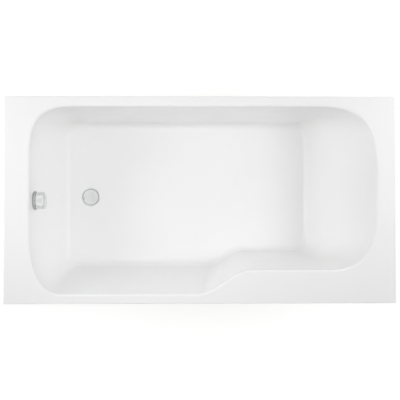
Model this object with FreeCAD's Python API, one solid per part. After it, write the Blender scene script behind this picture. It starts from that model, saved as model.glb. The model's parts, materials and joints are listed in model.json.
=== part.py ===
import FreeCAD, Part
import math
import os

V = FreeCAD.Vector

# Lengths are in millimetres. X runs along the tub with the waste at -X, Y runs to the wall behind it
# and Z is up. The origin is on the room's floor, under the middle of the rim.

# Shell
length = 1700
width = 900
shell_wall = 8
lip_drop = 35
basin_depth = 415
underside_height = 177
floor_fall = 6
floor_radius = 28
rim_roll = 8
overrun = 20

# Rim decks, from the outer edge to the basin
deck_left = 109
deck_right = 81
deck_back = 44
deck_front = 40
deck_narrow = 143

# How far each wall runs inwards from the rim to the floor, and how bowed it is on its way down
run_left = 107
run_right = 249
run_back = 30
run_front = 104
run_narrow = 73
bow_end_share = 1.6
bow_side_share = 1.1

# Corners of the basin: reach along X and along Y, as shares of the opening's length and of its width
# at that end, and then fullness
rim_corner_share = {
    "back_left": (0.133, 0.261, 0.76),
    "back_right": (0.162, 0.414, 0.73),
    "front_right": (0.136, 0.373, 0.68),
    "front_left": (0.097, 0.297, 0.64),
}
floor_corner_share = {
    "back_left": (0.054, 0.091, 0.6),
    "back_right": (0.054, 0.148, 0.6),
    "front_right": (0.054, 0.148, 0.6),
    "front_left": (0.054, 0.103, 0.6),
}

# The step between the wide shower end and the narrow end
step_rim_start = -14
step_rim_end = 233
step_floor_start = 30
step_floor_end = 230
step_rim_handle_share = (0.42, 0.35)
step_floor_handle_share = (0.5, 0.5)
step_slide_share = 0.4

# Waste, around a vertical axis that stands drain_inset from the left end of the floor
drain_inset = 106
drain_y = 20
drain_hole_radius = 26
drain_recess_radius = 41
drain_recess_depth = 2.5
drain_recess_flare = 2
seal_thickness = 1.5
flange_radius = 40
flange_lip = 3
flange_bevel = 1.2
flange_seat_radius = 33
sleeve_radius = 24
sleeve_wall = 2.5
sleeve_length = 24
spider_thickness = 4
spider_width = 5
spider_arms = 3
hub_radius = 7
hub_length = 14
plug_radius = 36.5
plug_edge = 3
plug_dome = 2.5
plug_seal_inner = 23
stem_radius = 4
pin_radius = 2
pin_engagement = 9
plug_lift = 12
lower_gasket_thickness = 3
gasket_radius = 40
body_flange_thickness = 5
neck_length = 20
chamber_radius = 34
chamber_wall = 4
chamber_height = 42
spigot_radius = 20
spigot_wall = 3
spigot_length = 13

# Overflow, around the level axis at overflow_y
overflow_y = -2
overflow_depth = 88
pad_radius = 41
pad_hole_radius = 27.5
ring_seal_thickness = 1
ring_radius = 39
ring_wall = 2.5
ring_plate = 3
ring_depth = 12
ring_window_radius = 5
ring_window_place = 17
ring_window_count = 6
ring_slot_width = 9
ring_slot_height = 4
ring_slot_spread = 30
collar_radius = 26
collar_wall = 2
collar_length = 15
spindle_radius = 5
spindle_hub_radius = 8
spindle_hub_length = 18
knob_radius = 38.5
knob_gap = 1
knob_depth = 39
knob_wall = 3
knob_front = 8
knob_round = 14
knob_hub_radius = 9
knob_hub_length = 20
grub_radius = 2
grub_length = 3.5
overflow_gasket_thickness = 4
overflow_flange_thickness = 5
overflow_flange_radius = 40
barrel_radius = 31
barrel_wall = 4
barrel_length = 38
tail_radius = 15
tail_wall = 2.5
tail_reach = 62
screw_place = 20
boss_radius = 7.5
boss_length = 21
spindle_seal_thickness = 2
cam_radius = 22
cam_thickness = 5
cam_groove = 2
cam_window_radius = 4
cam_window_place = 14
cam_window_count = 3
clip_thickness = 1
clip_radius = 7.5
clip_groove = 0.8
spindle_tail = 4
anchor_height = 22
anchor_drop = 20
anchor_width = 12
anchor_depth = 18

# Ribbed hose and control cable
hose_radius = 16
hose_groove = 2
hose_bore_radius = 12.4
hose_rib_pitch = 7.5
hose_bend_radius = 110
hose_drop = 17
hose_stub_reach = 62
nut_wall = 4.7
nut_length = 30
nut_lip = 4
cable_radius = 2.5
cable_rise = 11
cable_bend_radius = 88
cable_turn_radius = 82
cable_end_radius = 15
cable_entry_angle = 50
cable_entry_run = 110
cable_wire_radius = 1
ferrule_radius = 6
ferrule_length = 19
ferrule_socket = 4
gland_radius = 7
gland_length = 12
cable_clip_height = 12
cable_clip_wall = 2.5
cable_clip_drop = 100

# Trap and outlet
trap_clearance = 16
trap_radius = 42
trap_wall = 3
trap_collar_wall = 4
trap_collar_height = 8
trap_cap_thickness = 6
trap_pocket_radius = 28
trap_grip_length = 42
cap_seal_thickness = 1.5
trap_tube_lift = 8
trap_plate = 4
trap_nut_wall = 5.8
outlet_radius = 20
outlet_wall = 3
outlet_stub = 36
outlet_length = 150
outlet_spigot_length = 60
outlet_bead = 2
outlet_bead_width = 4
outlet_nut_wall = 6
outlet_nut_length = 24
outlet_seal_thickness = 2

# Base board and cross bars
board_thickness = 16
board_margin = 45
board_drain_gap = 78
board_pilot_depth = 12
bar_left_inset = 254
bar_right_inset = 120
bar_half_width = 20
bar_flange = 18
bar_height = 28
bar_sheet = 2.5
bar_overhang = 18
bar_screw_inset = 40
screw_radius = 2.5
screw_head_radius = 4.5
screw_head_height = 2.5
screw_reach = 12
centre_x = 20
centre_y = 60
centre_length = 90

# Feet
foot_offset_back = 28
foot_offset_front = 36
rod_radius = 5
rod_hole_clearance = 0.6
rod_rise = 60
rod_rise_centre = 13
nut_radius = 9.2
nut_height = 8
nut_corners = 6
pad_foot_radius = 26
pad_base = 8
pad_round = 2
pad_neck_radius = 11
pad_neck = 14
pad_socket = 12

# Rim battens, rim boards and wall brackets
batten_height = 24
batten_width = 14
batten_gap = 3
batten_end_inset = 30
rim_board_thickness = 16
rim_board_half_length = 300
bracket_sheet = 3
bracket_width = 60
bracket_plate_height = 70
bracket_tongue_gap = 4.5
bracket_hook_drop = 2
bracket_hole_radius = 3.25
bracket_hole_spacing = 40
bracket_back_inset = 350
bracket_left_y = 220

# Clearances
running = 0.08
seat = 0.3
loose = 0.2

# Places that follow from the sizes above
rim_height = underside_height + shell_wall + basin_depth
rim_left = -length / 2 + deck_left
rim_right = length / 2 - deck_right
rim_back = width / 2 - deck_back
rim_front = -width / 2 + deck_front
rim_narrow = -width / 2 + deck_narrow
floor_left = rim_left + run_left
floor_right = rim_right - run_right
floor_back = rim_back - run_back
floor_front = rim_front + run_front
floor_narrow = rim_narrow + run_narrow
floor_slope = floor_fall / (floor_right - floor_left)
drain_x = floor_left + drain_inset
bar_left_x = floor_left + bar_left_inset
bar_right_x = floor_right - bar_right_inset
bracket_back_x = length / 2 - bracket_back_inset
pin_length = plug_lift + pin_engagement
lip_inside_x = length / 2 - shell_wall
lip_inside_y = width / 2 - shell_wall
deck_under = rim_height - shell_wall
board_under = underside_height - board_thickness
drain_floor = rim_height - basin_depth + floor_slope * (drain_x - floor_left)
recess_floor = drain_floor - drain_recess_depth
flange_under = recess_floor + seal_thickness
sleeve_end = flange_under - sleeve_length
hub_end = sleeve_end - spider_thickness
gasket_under = underside_height - lower_gasket_thickness
body_flange_under = gasket_under - body_flange_thickness
chamber_top = body_flange_under - neck_length + chamber_wall
chamber_end = chamber_top - chamber_height
spigot_end = chamber_end - spigot_length
hose_height = chamber_top - hose_drop
cable_height = chamber_end + cable_rise
outlet_height = spigot_end - trap_plate - outlet_radius
overflow_z = rim_height - overflow_depth
overflow = V(0, overflow_y, overflow_z)

UP = V(0, 0, 1)
DOWN = V(0, 0, -1)
INWARD = V(1, 0, 0)
BACKWARD = V(0, 1, 0)


def box(low, high):
    """A box between two corners."""
    size = high - low
    return Part.makeBox(size.x, size.y, size.z, low)


def rod(radius, long, base, axis):
    """A solid round bar from base along axis."""
    return Part.makeCylinder(radius, long, base, axis)


def ring(outer, inner, long, base, axis):
    """A tube open at both ends, its bore cut from the bar."""
    return rod(outer, long, base, axis).cut(rod(inner, long, base, axis))


def polygon(points, direction):
    """A prism over a closed outline of points."""
    return Part.Face(Part.makePolygon(points + points[:1])).extrude(direction)


def blend(start, end, share):
    return start + (end - start) * share


def wall_shift(run, depth, bow):
    """How far a basin wall has run inwards at a depth below the rim."""
    share = min(max(depth / basin_depth, 0), 1)
    return run * share ** bow


def left_wall_x(depth):
    return rim_left + wall_shift(run_left, depth, bow_end_share)


def bezier(points):
    curve = Part.BezierCurve()
    curve.setPoles(points)
    return curve.toShape()


def corner_curve(start, corner, end, fullness):
    """A soft corner from start to end that swings towards the point where its sides would meet."""
    return bezier([start, blend(start, corner, fullness), blend(end, corner, fullness), end])


def corner_reach(name, share, grow):
    """A corner's reach along X and along Y, and its fullness, at a share of the depth."""
    wide = name.endswith("left")
    rim_across = rim_back - (rim_front if wide else rim_narrow)
    floor_across = floor_back - (floor_front if wide else floor_narrow)
    rim_x, rim_y, rim_fullness = rim_corner_share[name]
    floor_x, floor_y, floor_fullness = floor_corner_share[name]
    along = blend(rim_x * (rim_right - rim_left), floor_x * (floor_right - floor_left), share)
    across = blend(rim_y * rim_across, floor_y * floor_across, share)
    return along + grow, across + grow, blend(rim_fullness, floor_fullness, share)


def basin_section(depth, grow, slope=0):
    """The basin's closed outline at a depth, moved outwards by grow and tilted by the floor's slope."""
    share = min(max(depth / basin_depth, 0), 1)
    left = left_wall_x(depth) - grow
    right = rim_right - wall_shift(run_right, depth, bow_side_share) + grow
    back = rim_back - wall_shift(run_back, depth, bow_side_share) + grow
    front = rim_front + wall_shift(run_front, depth, bow_side_share) - grow
    narrow = rim_narrow + wall_shift(run_narrow, depth, bow_side_share) - grow
    step_start = blend(step_rim_start, step_floor_start, share) + grow * step_slide_share
    step_end = blend(step_rim_end, step_floor_end, share) + grow * step_slide_share
    span = step_end - step_start
    near = span * blend(step_rim_handle_share[0], step_floor_handle_share[0], share)
    far = span * blend(step_rim_handle_share[1], step_floor_handle_share[1], share)

    def place(x, y):
        return V(x, y, rim_height - depth + slope * (x - floor_left))

    back_left = corner_reach("back_left", share, grow)
    back_right = corner_reach("back_right", share, grow)
    front_right = corner_reach("front_right", share, grow)
    front_left = corner_reach("front_left", share, grow)
    a = place(left + back_left[0], back)
    b = place(right - back_right[0], back)
    c = place(right, back - back_right[1])
    d = place(right, narrow + front_right[1])
    e = place(right - front_right[0], narrow)
    f = place(step_end, narrow)
    g = place(step_start, front)
    h = place(left + front_left[0], front)
    i = place(left, front + front_left[1])
    j = place(left, back - back_left[1])
    edges = [
        Part.LineSegment(a, b).toShape(),
        corner_curve(b, place(right, back), c, back_right[2]),
        Part.LineSegment(c, d).toShape(),
        corner_curve(d, place(right, narrow), e, front_right[2]),
        Part.LineSegment(e, f).toShape(),
        bezier([f, place(step_end - near, narrow), place(step_start + far, front), g]),
        Part.LineSegment(g, h).toShape(),
        corner_curve(h, place(left, front), i, front_left[2]),
        Part.LineSegment(i, j).toShape(),
        corner_curve(j, place(left, back), a, back_left[2]),
    ]
    return Part.Wire(edges)


def basin_solid(grow):
    """The space inside the basin, or with grow the outside of its wall, rounded at the floor."""
    roll_steps = 3
    wall_steps = 5
    floor_steps = 4
    radius = floor_radius + grow
    bottom = basin_depth + grow
    if grow:
        sections = [(shell_wall / 2, grow)]
    else:
        sections = [(-overrun, rim_roll)]
        for step in range(roll_steps + 1):
            angle = math.pi / 2 * step / roll_steps
            sections.append((rim_roll * (1 - math.cos(angle)), rim_roll * (1 - math.sin(angle))))
    top = sections[-1][0]
    for step in range(1, wall_steps + 1):
        sections.append((blend(top, bottom - radius, step / wall_steps), grow))
    for step in range(1, floor_steps + 1):
        angle = math.pi / 2 * step / floor_steps
        inset = radius * (1 - math.cos(angle))
        sections.append((bottom - radius + radius * math.sin(angle), grow - inset))
    wires = []
    for depth, offset in sections:
        slope = 0 if grow else floor_slope * max(0, 2 * depth / basin_depth - 1)
        wires.append(basin_section(depth, offset, slope))
    return Part.makeLoft(wires, True, True)


# The overflow's flat seat in the end wall starts where the seat's top meets the wall.
seat_x = left_wall_x(overflow_depth - pad_radius)
wall_back_x = seat_x - shell_wall
ring_plate_x = seat_x + ring_seal_thickness
ring_front_x = seat_x + ring_depth + ring_seal_thickness
knob_back_x = ring_front_x + knob_gap
knob_front_x = knob_back_x + knob_depth
flange_x = wall_back_x - overflow_gasket_thickness
barrel_x = flange_x - overflow_flange_thickness
barrel_end_x = barrel_x - barrel_length
cam_front_x = barrel_end_x - spindle_seal_thickness - seat
cam_back_x = cam_front_x - cam_thickness
clip_x = cam_back_x - loose - clip_thickness
tail_x = barrel_x - barrel_length / 2 + barrel_wall / 2
tail_end_z = overflow_z - tail_reach
cable_x = (cam_front_x + cam_back_x) / 2
cable_y = overflow_y - cam_radius
anchor_top = overflow_z - anchor_drop
anchor_low = anchor_top - anchor_height
hose_run = V(drain_x - tail_x, drain_y - overflow_y, 0)
hose_heading = V(hose_run).normalize()
hose_top = V(tail_x, overflow_y, tail_end_z)
hose_corner = V(tail_x, overflow_y, hose_height)
hose_end = hose_corner + hose_heading * (hose_run.Length - hose_stub_reach)


def at_overflow(x):
    """The point at x on the overflow's axis."""
    return V(x, overflow_y, overflow_z)


def around_overflow(x, radius, angle):
    """The point at x, radius from the overflow's axis, at an angle from +Y."""
    return at_overflow(x) + V(0, radius * math.cos(angle), radius * math.sin(angle))


def at_drain(z):
    """The point at height z on the waste's axis."""
    return V(drain_x, drain_y, z)


def tub_shell():
    """Rim with its turned-down lip, and the basin with seats and holes for waste and overflow."""
    half = V(length / 2, width / 2, 0)
    rim = box(V(0, 0, rim_height - lip_drop) - half, V(0, 0, rim_height) + half)
    inside = V(lip_inside_x, lip_inside_y, 0)
    rim = rim.cut(box(V(0, 0, rim_height - lip_drop - overrun) - inside, V(0, 0, deck_under) + inside))
    pad = rod(pad_radius + shell_wall, pad_radius, at_overflow(wall_back_x), INWARD)
    shell = rim.fuse(basin_solid(shell_wall)).fuse(pad)
    shell = shell.cut(basin_solid(0))
    shell = shell.cut(rod(pad_radius, pad_radius, at_overflow(seat_x), INWARD))
    shell = shell.cut(rod(pad_hole_radius, 2 * pad_radius, at_overflow(wall_back_x - pad_radius), INWARD))
    mouth = drain_recess_radius + drain_recess_flare
    recess = Part.makeCone(drain_recess_radius, mouth, drain_recess_depth, at_drain(recess_floor), UP)
    above = rod(mouth, overrun, at_drain(recess_floor + drain_recess_depth), UP)
    hole = rod(drain_hole_radius, 2 * overrun, at_drain(recess_floor - overrun), UP)
    return shell.cut(recess.fuse(above)).cut(hole).removeSplitter()


def board_outline(z):
    """The base board's corners: inside the floor's flat, and stepped as the basin is."""
    left = drain_x + board_drain_gap
    right = floor_right - board_margin
    back = floor_back - board_margin
    front = floor_front + board_margin
    narrow = floor_narrow + board_margin
    return [
        V(left, back, z),
        V(right, back, z),
        V(right, narrow, z),
        V(step_floor_end, narrow, z),
        V(step_floor_start, front, z),
        V(left, front, z),
    ]


def foot_points():
    """Where the five feet stand: back and front on each bar, and the one in the middle."""
    back = floor_back + shell_wall + foot_offset_back
    wide = floor_front - shell_wall - foot_offset_front
    narrow = floor_narrow - shell_wall - foot_offset_front
    return [
        V(bar_left_x, back, 0),
        V(bar_left_x, wide, 0),
        V(bar_right_x, back, 0),
        V(bar_right_x, narrow, 0),
        V(centre_x, centre_y, 0),
    ]


def screw_points():
    """The screws that hold both bars and the centre bracket to the base board."""
    reach = bar_half_width + bar_flange / 2
    back = floor_back - board_margin - bar_screw_inset
    wide = floor_front + board_margin + bar_screw_inset
    narrow = floor_narrow + board_margin + bar_screw_inset
    half = centre_length / 2 - bar_flange
    spans = [
        (bar_left_x, wide, back),
        (bar_right_x, narrow, back),
        (centre_x, centre_y - half, centre_y + half),
    ]
    points = []
    for x, low, high in spans:
        for side in (-1, 1):
            points.append(V(x + side * reach, low, board_under))
            points.append(V(x + side * reach, high, board_under))
    return points


def base_board():
    """The board laminated under the floor, with pilot holes for the screws."""
    board = polygon(board_outline(board_under), UP * board_thickness)
    for point in screw_points():
        board = board.cut(rod(screw_radius + running, board_pilot_depth + loose, point, UP))
    return board


def hat_bar(x, low, high):
    """A folded steel bar: two flanges on the board, and a web below them with room for a nut."""
    a = bar_half_width
    outline = [
        (-a - bar_flange, 0),
        (-a + bar_sheet, 0),
        (-a + bar_sheet, -bar_height + bar_sheet),
        (a - bar_sheet, -bar_height + bar_sheet),
        (a - bar_sheet, 0),
        (a + bar_flange, 0),
        (a + bar_flange, -bar_sheet),
        (a, -bar_sheet),
        (a, -bar_height),
        (-a, -bar_height),
        (-a, -bar_sheet),
        (-a - bar_flange, -bar_sheet),
    ]
    points = [V(x + along, low, board_under + up) for along, up in outline]
    bar = polygon(points, BACKWARD * (high - low))
    for point in foot_points():
        hole_base = point + UP * (board_under - bar_height - bar_sheet)
        bar = bar.cut(rod(rod_radius + rod_hole_clearance, bar_height, hole_base, UP))
    for point in screw_points():
        bar = bar.cut(rod(screw_radius + running, bar_sheet, point - UP * bar_sheet, UP))
    return bar


def cross_bar_left():
    feet = foot_points()
    return hat_bar(bar_left_x, feet[1].y - bar_overhang, feet[0].y + bar_overhang)


def cross_bar_right():
    feet = foot_points()
    return hat_bar(bar_right_x, feet[3].y - bar_overhang, feet[2].y + bar_overhang)


def centre_bracket():
    return hat_bar(centre_x, centre_y - centre_length / 2, centre_y + centre_length / 2)


def bar_screws():
    """Screws up through the flanges into the board."""
    screws = []
    for point in screw_points():
        head_base = point - UP * (bar_sheet + screw_head_height)
        head = rod(screw_head_radius, screw_head_height, head_base, UP)
        screws.append(head.fuse(rod(screw_radius, bar_sheet + screw_reach, point - UP * bar_sheet, UP)))
    return Part.makeCompound(screws)


def hexagon(radius, height, base):
    points = []
    for corner in range(nut_corners):
        angle = 2 * math.pi * corner / nut_corners
        points.append(base + V(radius * math.cos(angle), radius * math.sin(angle), 0))
    return polygon(points, UP * height)


def rod_nuts(level):
    """One nut round every foot's rod at a height."""
    nuts = []
    for point in foot_points():
        base = point + UP * level
        thread = rod(rod_radius + running, nut_height, base, UP)
        nuts.append(hexagon(nut_radius, nut_height, base).cut(thread))
    return Part.makeCompound(nuts)


def weld_nuts():
    return rod_nuts(board_under - bar_height + bar_sheet)


def lock_nuts():
    return rod_nuts(board_under - bar_height - nut_height)


def foot_rod(index):
    """A threaded rod from the pad's socket up through the bar and its nuts."""
    centre = index == len(foot_points()) - 1
    rise = rod_rise_centre if centre else rod_rise
    base = foot_points()[index] + UP * (pad_base + pad_neck - pad_socket)
    top = board_under - bar_height + bar_sheet + rise
    return rod(rod_radius, top - base.z, base, UP)


def foot_pad(index):
    """A plastic foot with a neck that takes the rod's end."""
    point = foot_points()[index]
    base = rod(pad_foot_radius, pad_base, point, UP)
    rims = [item for item in base.Edges if item.BoundBox.ZMin > pad_base / 2]
    base = base.makeFillet(pad_round, rims)
    neck = rod(pad_neck_radius, pad_neck, point + UP * pad_base, UP)
    socket_base = point + UP * (pad_base + pad_neck - pad_socket)
    return base.fuse(neck).cut(rod(rod_radius + running, pad_socket, socket_base, UP))


def rim_batten(side):
    """A batten under the rim's long side, between the basin's wall and the lip."""
    outer = lip_inside_y - bracket_tongue_gap - bracket_sheet - batten_gap
    if side > 0:
        low = V(-lip_inside_x + batten_end_inset, outer - batten_width, deck_under - batten_height)
        high = V(lip_inside_x - batten_end_inset, outer, deck_under)
    else:
        end = step_rim_start - batten_end_inset
        low = V(-lip_inside_x + batten_end_inset, -lip_inside_y + batten_gap, deck_under - batten_height)
        high = V(end, -lip_inside_y + batten_gap + batten_width, deck_under)
    return box(low, high)


def rim_batten_back():
    return rim_batten(1)


def rim_batten_front():
    return rim_batten(-1)


def rim_board_left():
    """A board under the deck above the overflow."""
    outer = -lip_inside_x + bracket_tongue_gap + bracket_sheet + batten_gap
    low = V(outer, -rim_board_half_length, deck_under - rim_board_thickness)
    high = V(rim_left - shell_wall - batten_gap, rim_board_half_length, deck_under)
    return box(low, high)


def rim_board_right():
    low = V(rim_right + shell_wall + batten_gap, -rim_board_half_length, deck_under - rim_board_thickness)
    high = V(lip_inside_x - batten_gap, rim_board_half_length, deck_under)
    return box(low, high)


def rim_board_front():
    """A board under the wide deck beside the step."""
    start = step_rim_end + deck_front
    low = V(start, -lip_inside_y + batten_gap, deck_under - rim_board_thickness)
    high = V(rim_right, rim_narrow - shell_wall - batten_gap, deck_under)
    return box(low, high)


def wall_bracket(turn, place):
    """A folded hook for the rim's edge with a drilled plate against the wall, drawn for the back wall."""
    half = bracket_width / 2
    face = width / 2
    lip_low = rim_height - lip_drop - bracket_hook_drop
    tongue = lip_inside_y - bracket_tongue_gap - bracket_sheet
    plate_low = V(-half, face - bracket_sheet, lip_low - bracket_plate_height)
    plate = box(plate_low, V(half, face, lip_low))
    shelf = box(V(-half, tongue, lip_low - bracket_sheet), V(half, face, lip_low))
    hook = box(V(-half, tongue, lip_low - bracket_sheet), V(half, tongue + bracket_sheet, deck_under))
    bracket = plate.fuse(shelf).fuse(hook)
    middle = lip_low - bracket_plate_height / 2 - bracket_sheet
    for side in (-1, 1):
        centre = V(0, face - 2 * bracket_sheet, middle + side * bracket_hole_spacing / 2)
        bracket = bracket.cut(rod(bracket_hole_radius, bracket_plate_height, centre, BACKWARD))
    bracket = bracket.removeSplitter()
    bracket.rotate(V(0, 0, 0), UP, turn)
    bracket.translate(place)
    return bracket


def wall_bracket_back_1():
    return wall_bracket(0, V(-bracket_back_x, 0, 0))


def wall_bracket_back_2():
    return wall_bracket(0, V(bracket_back_x, 0, 0))


def wall_bracket_left():
    return wall_bracket(90, V((width - length) / 2, bracket_left_y, 0))


def waste_top_seal():
    outer = flange_radius - seal_thickness
    inner = drain_hole_radius + seal_thickness
    return ring(outer, inner, seal_thickness, at_drain(recess_floor), UP)


def waste_flange():
    """The chrome ring in the floor, its sleeve, and the spider that guides the plug's stem."""
    lip = rod(flange_radius, flange_lip, at_drain(flange_under), UP)
    top = [edge for edge in lip.Edges if edge.BoundBox.ZMin > flange_under + flange_lip / 2]
    lip = lip.makeChamfer(flange_bevel, top)
    sleeve = rod(sleeve_radius, sleeve_length, at_drain(sleeve_end), UP)
    flange = lip.fuse(sleeve)
    bore = sleeve_radius - sleeve_wall
    flange = flange.cut(rod(bore, sleeve_length + flange_lip, at_drain(sleeve_end), UP))
    flange = flange.cut(rod(flange_seat_radius, flange_lip, at_drain(flange_under + flange_bevel), UP))
    half = spider_width / 2
    spider = ring(sleeve_radius, bore - half, spider_thickness, at_drain(sleeve_end), UP)
    for arm in range(spider_arms):
        bar = box(V(0, -half, 0), V(sleeve_radius - sleeve_wall / 2, half, spider_thickness))
        bar.rotate(V(0, 0, 0), UP, 360 * arm / spider_arms)
        bar.translate(at_drain(sleeve_end))
        spider = spider.fuse(bar)
    hub = rod(hub_radius, hub_length, at_drain(hub_end), UP)
    guide = rod(stem_radius + running, hub_length + sleeve_length, at_drain(hub_end), UP)
    return flange.fuse(spider).fuse(hub).cut(guide).removeSplitter()


def plug_parts():
    """Heights of the plug at rest: the cap's underside, the seal's underside and the stem's end."""
    cap_under = flange_under + flange_lip + seat
    seal_under = flange_under + flange_bevel + seat
    stem_end = hub_end + hub_length / 2
    return cap_under, seal_under, stem_end


def plug_cap():
    """The chrome cap: an upright edge under a low dome."""
    cap_under = plug_parts()[0]
    edge = rod(plug_radius, plug_edge, at_drain(cap_under), UP)
    sphere_radius = (plug_radius ** 2 + plug_dome ** 2) / (2 * plug_dome)
    ball = Part.makeSphere(sphere_radius, at_drain(cap_under + plug_edge + plug_dome - sphere_radius))
    slab = rod(plug_radius, plug_dome, at_drain(cap_under + plug_edge), UP)
    cap = edge.fuse(ball.common(slab))
    return cap.removeSplitter()


def plug_seal():
    """The rubber ring under the cap that closes on the flange's seat."""
    cap_under, seal_under, _ = plug_parts()
    outer = flange_seat_radius - 2 * seat
    return ring(outer, plug_seal_inner, cap_under - seal_under, at_drain(seal_under), UP)


def plug_stem():
    """The stem under the cap, with the disc that carries the seal."""
    cap_under, seal_under, stem_end = plug_parts()
    stem = rod(stem_radius, cap_under - stem_end, at_drain(stem_end), UP)
    return stem.fuse(rod(plug_seal_inner - loose, cap_under - seal_under, at_drain(seal_under), UP))


def lift_pin():
    """The pin that the cable pushes up against the stem."""
    stem_end = plug_parts()[2]
    return rod(pin_radius, pin_length, at_drain(stem_end - pin_length), UP)


def waste_gasket():
    inner = drain_hole_radius + seal_thickness
    return ring(gasket_radius, inner, lower_gasket_thickness, at_drain(gasket_under), UP)


def cable_entry():
    """The level direction in which the cable enters the waste's chamber."""
    angle = math.radians(cable_entry_angle)
    return V(math.cos(angle), math.sin(angle), 0)


def waste_body():
    """Flange and neck under the floor, the chamber, its spigot, and the side inlet for the hose."""
    body = rod(flange_radius, body_flange_thickness, at_drain(body_flange_under), UP)
    body = body.fuse(rod(chamber_radius, body_flange_under - chamber_end, at_drain(chamber_end), UP))
    body = body.fuse(rod(spigot_radius, spigot_length, at_drain(spigot_end), UP))
    stub_base = V(hose_end)
    body = body.fuse(rod(tail_radius, hose_stub_reach, stub_base, hose_heading))
    chamber_bore = chamber_radius - chamber_wall
    room_low = chamber_end + chamber_wall
    room_high = chamber_top - chamber_wall
    body = body.cut(rod(sleeve_radius + loose, gasket_under - room_high, at_drain(room_high), UP))
    body = body.cut(rod(chamber_bore, room_high - room_low, at_drain(room_low), UP))
    outlet = rod(spigot_radius - spigot_wall, spigot_length + chamber_wall, at_drain(spigot_end), UP)
    inlet = rod(tail_radius - tail_wall, hose_stub_reach - chamber_bore / 2, stub_base, hose_heading)
    entry_base = at_drain(cable_height) - cable_entry() * (chamber_radius + chamber_wall)
    entry = rod(cable_radius + loose, 3 * chamber_wall, entry_base, cable_entry())
    body = body.cut(outlet).cut(inlet).cut(entry)
    return body.removeSplitter()


def cable_ferrule():
    """The cable's end piece under the spider's hub, with the pin's guide."""
    base = at_drain(hub_end - ferrule_length)
    ferrule = rod(ferrule_radius, ferrule_length, base, UP)
    ferrule = ferrule.cut(rod(cable_radius + running, ferrule_socket, base, UP))
    return ferrule.cut(rod(pin_radius + running, ferrule_length, base, UP))


def cable_gland():
    """The gland round the cable where it enters the chamber."""
    base = at_drain(cable_height) - cable_entry() * (chamber_radius + gland_length)
    gland = ring(gland_radius, cable_radius + loose, gland_length + chamber_wall / 2, base, cable_entry())
    return gland.cut(rod(chamber_radius, cable_height, at_drain(cable_height / 2), UP))


def round_path(points, radii):
    """A wire through points whose inner corners are turned by tangent arcs of the given radii."""
    edges = []
    start = points[0]
    for index, radius in enumerate(radii, 1):
        before = (points[index] - points[index - 1]).normalize()
        after = (points[index + 1] - points[index]).normalize()
        turn = before.getAngle(after)
        cut = radius * math.tan(turn / 2)
        first = points[index] - before * cut
        last = points[index] + after * cut
        inward = (after - before).normalize()
        centre = points[index] + inward * (radius / math.cos(turn / 2))
        middle = centre - inward * radius
        edges.append(Part.LineSegment(start, first).toShape())
        edges.append(Part.Arc(first, middle, last).toShape())
        start = last
    edges.append(Part.LineSegment(start, points[-1]).toShape())
    return Part.Wire(edges)


def cable_points():
    """The cable's corners: down from the overflow, under the hose's side, into the waste and up."""
    entry = at_drain(cable_height) - cable_entry() * cable_entry_run
    return [
        V(cable_x, cable_y, anchor_top - ferrule_socket),
        V(cable_x, cable_y, cable_height),
        entry,
        at_drain(cable_height),
        at_drain(hub_end - ferrule_length + ferrule_socket),
    ]


def cable_sleeve():
    """The cable's outer sleeve, whole, along its route."""
    points = cable_points()
    wire = round_path(points, [cable_bend_radius, cable_turn_radius, cable_end_radius])
    circle = Part.Wire(Part.Circle(points[0], DOWN, cable_radius).toShape())
    sleeve = wire.makePipeShell([circle], True, False)
    expected = math.pi * cable_radius ** 2 * wire.Length
    print("cable sleeve length", round(wire.Length, 1), "volume share", round(sleeve.Volume / expected, 4))
    return sleeve


def hose_station(travel):
    """Centre and direction on the hose's line at a distance from its top."""
    straight = hose_top.z - hose_corner.z - hose_bend_radius
    bend = hose_bend_radius * math.pi / 2
    if travel <= straight:
        return hose_top + DOWN * travel, DOWN
    if travel <= straight + bend:
        angle = (travel - straight) / hose_bend_radius
        centre = hose_top + DOWN * straight + hose_heading * hose_bend_radius
        along = hose_heading * math.sin(angle) + DOWN * math.cos(angle)
        spoke = DOWN * math.sin(angle) - hose_heading * math.cos(angle)
        return centre + spoke * hose_bend_radius, along
    rest = travel - straight - bend
    return hose_corner + hose_heading * (hose_bend_radius + rest), hose_heading


def hose_length():
    straight = hose_top.z - hose_corner.z - hose_bend_radius
    level = (hose_end - hose_corner).Length - hose_bend_radius
    return straight + hose_bend_radius * math.pi / 2 + level


def hose_circle(travel, radius):
    """A circle across the hose, its X axis steady and square to the hose's plane."""
    spot, direction = hose_station(travel)
    side = hose_heading.cross(DOWN).normalize()
    frame = FreeCAD.Matrix()
    across = direction.cross(side)
    frame.A11, frame.A21, frame.A31 = side.x, side.y, side.z
    frame.A12, frame.A22, frame.A32 = across.x, across.y, across.z
    frame.A13, frame.A23, frame.A33 = direction.x, direction.y, direction.z
    frame.A14, frame.A24, frame.A34 = spot.x, spot.y, spot.z
    circle = Part.Wire(Part.makeCircle(radius))
    circle.Placement = FreeCAD.Placement(frame)
    return circle


def overflow_hose():
    """A ribbed hose with plain ends one diameter long, and its bore."""
    total = hose_length()
    plain = 2 * hose_radius
    ribbed = total - 2 * plain
    count = int(ribbed / hose_rib_pitch)
    pitch = ribbed / count
    rib_shares = ((0, 0), (0.2, 1), (0.5, 1), (0.7, 0))
    circles = [hose_circle(0, hose_radius - hose_groove)]
    for rib in range(count):
        for along, rise in rib_shares:
            radius = hose_radius - hose_groove + hose_groove * rise
            circles.append(hose_circle(plain + pitch * (rib + along), radius))
    circles.append(hose_circle(total - plain, hose_radius - hose_groove))
    circles.append(hose_circle(total, hose_radius - hose_groove))
    hose = Part.makeLoft(circles, True, True)
    wire = round_path([hose_top, hose_corner, hose_end], [hose_bend_radius])
    bore_circle = Part.Wire(Part.Circle(hose_top, DOWN, hose_bore_radius).toShape())
    bore = wire.makePipeShell([bore_circle], True, False)
    print("hose length", round(total, 1), "ribs", count)
    return hose.cut(bore)


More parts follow.
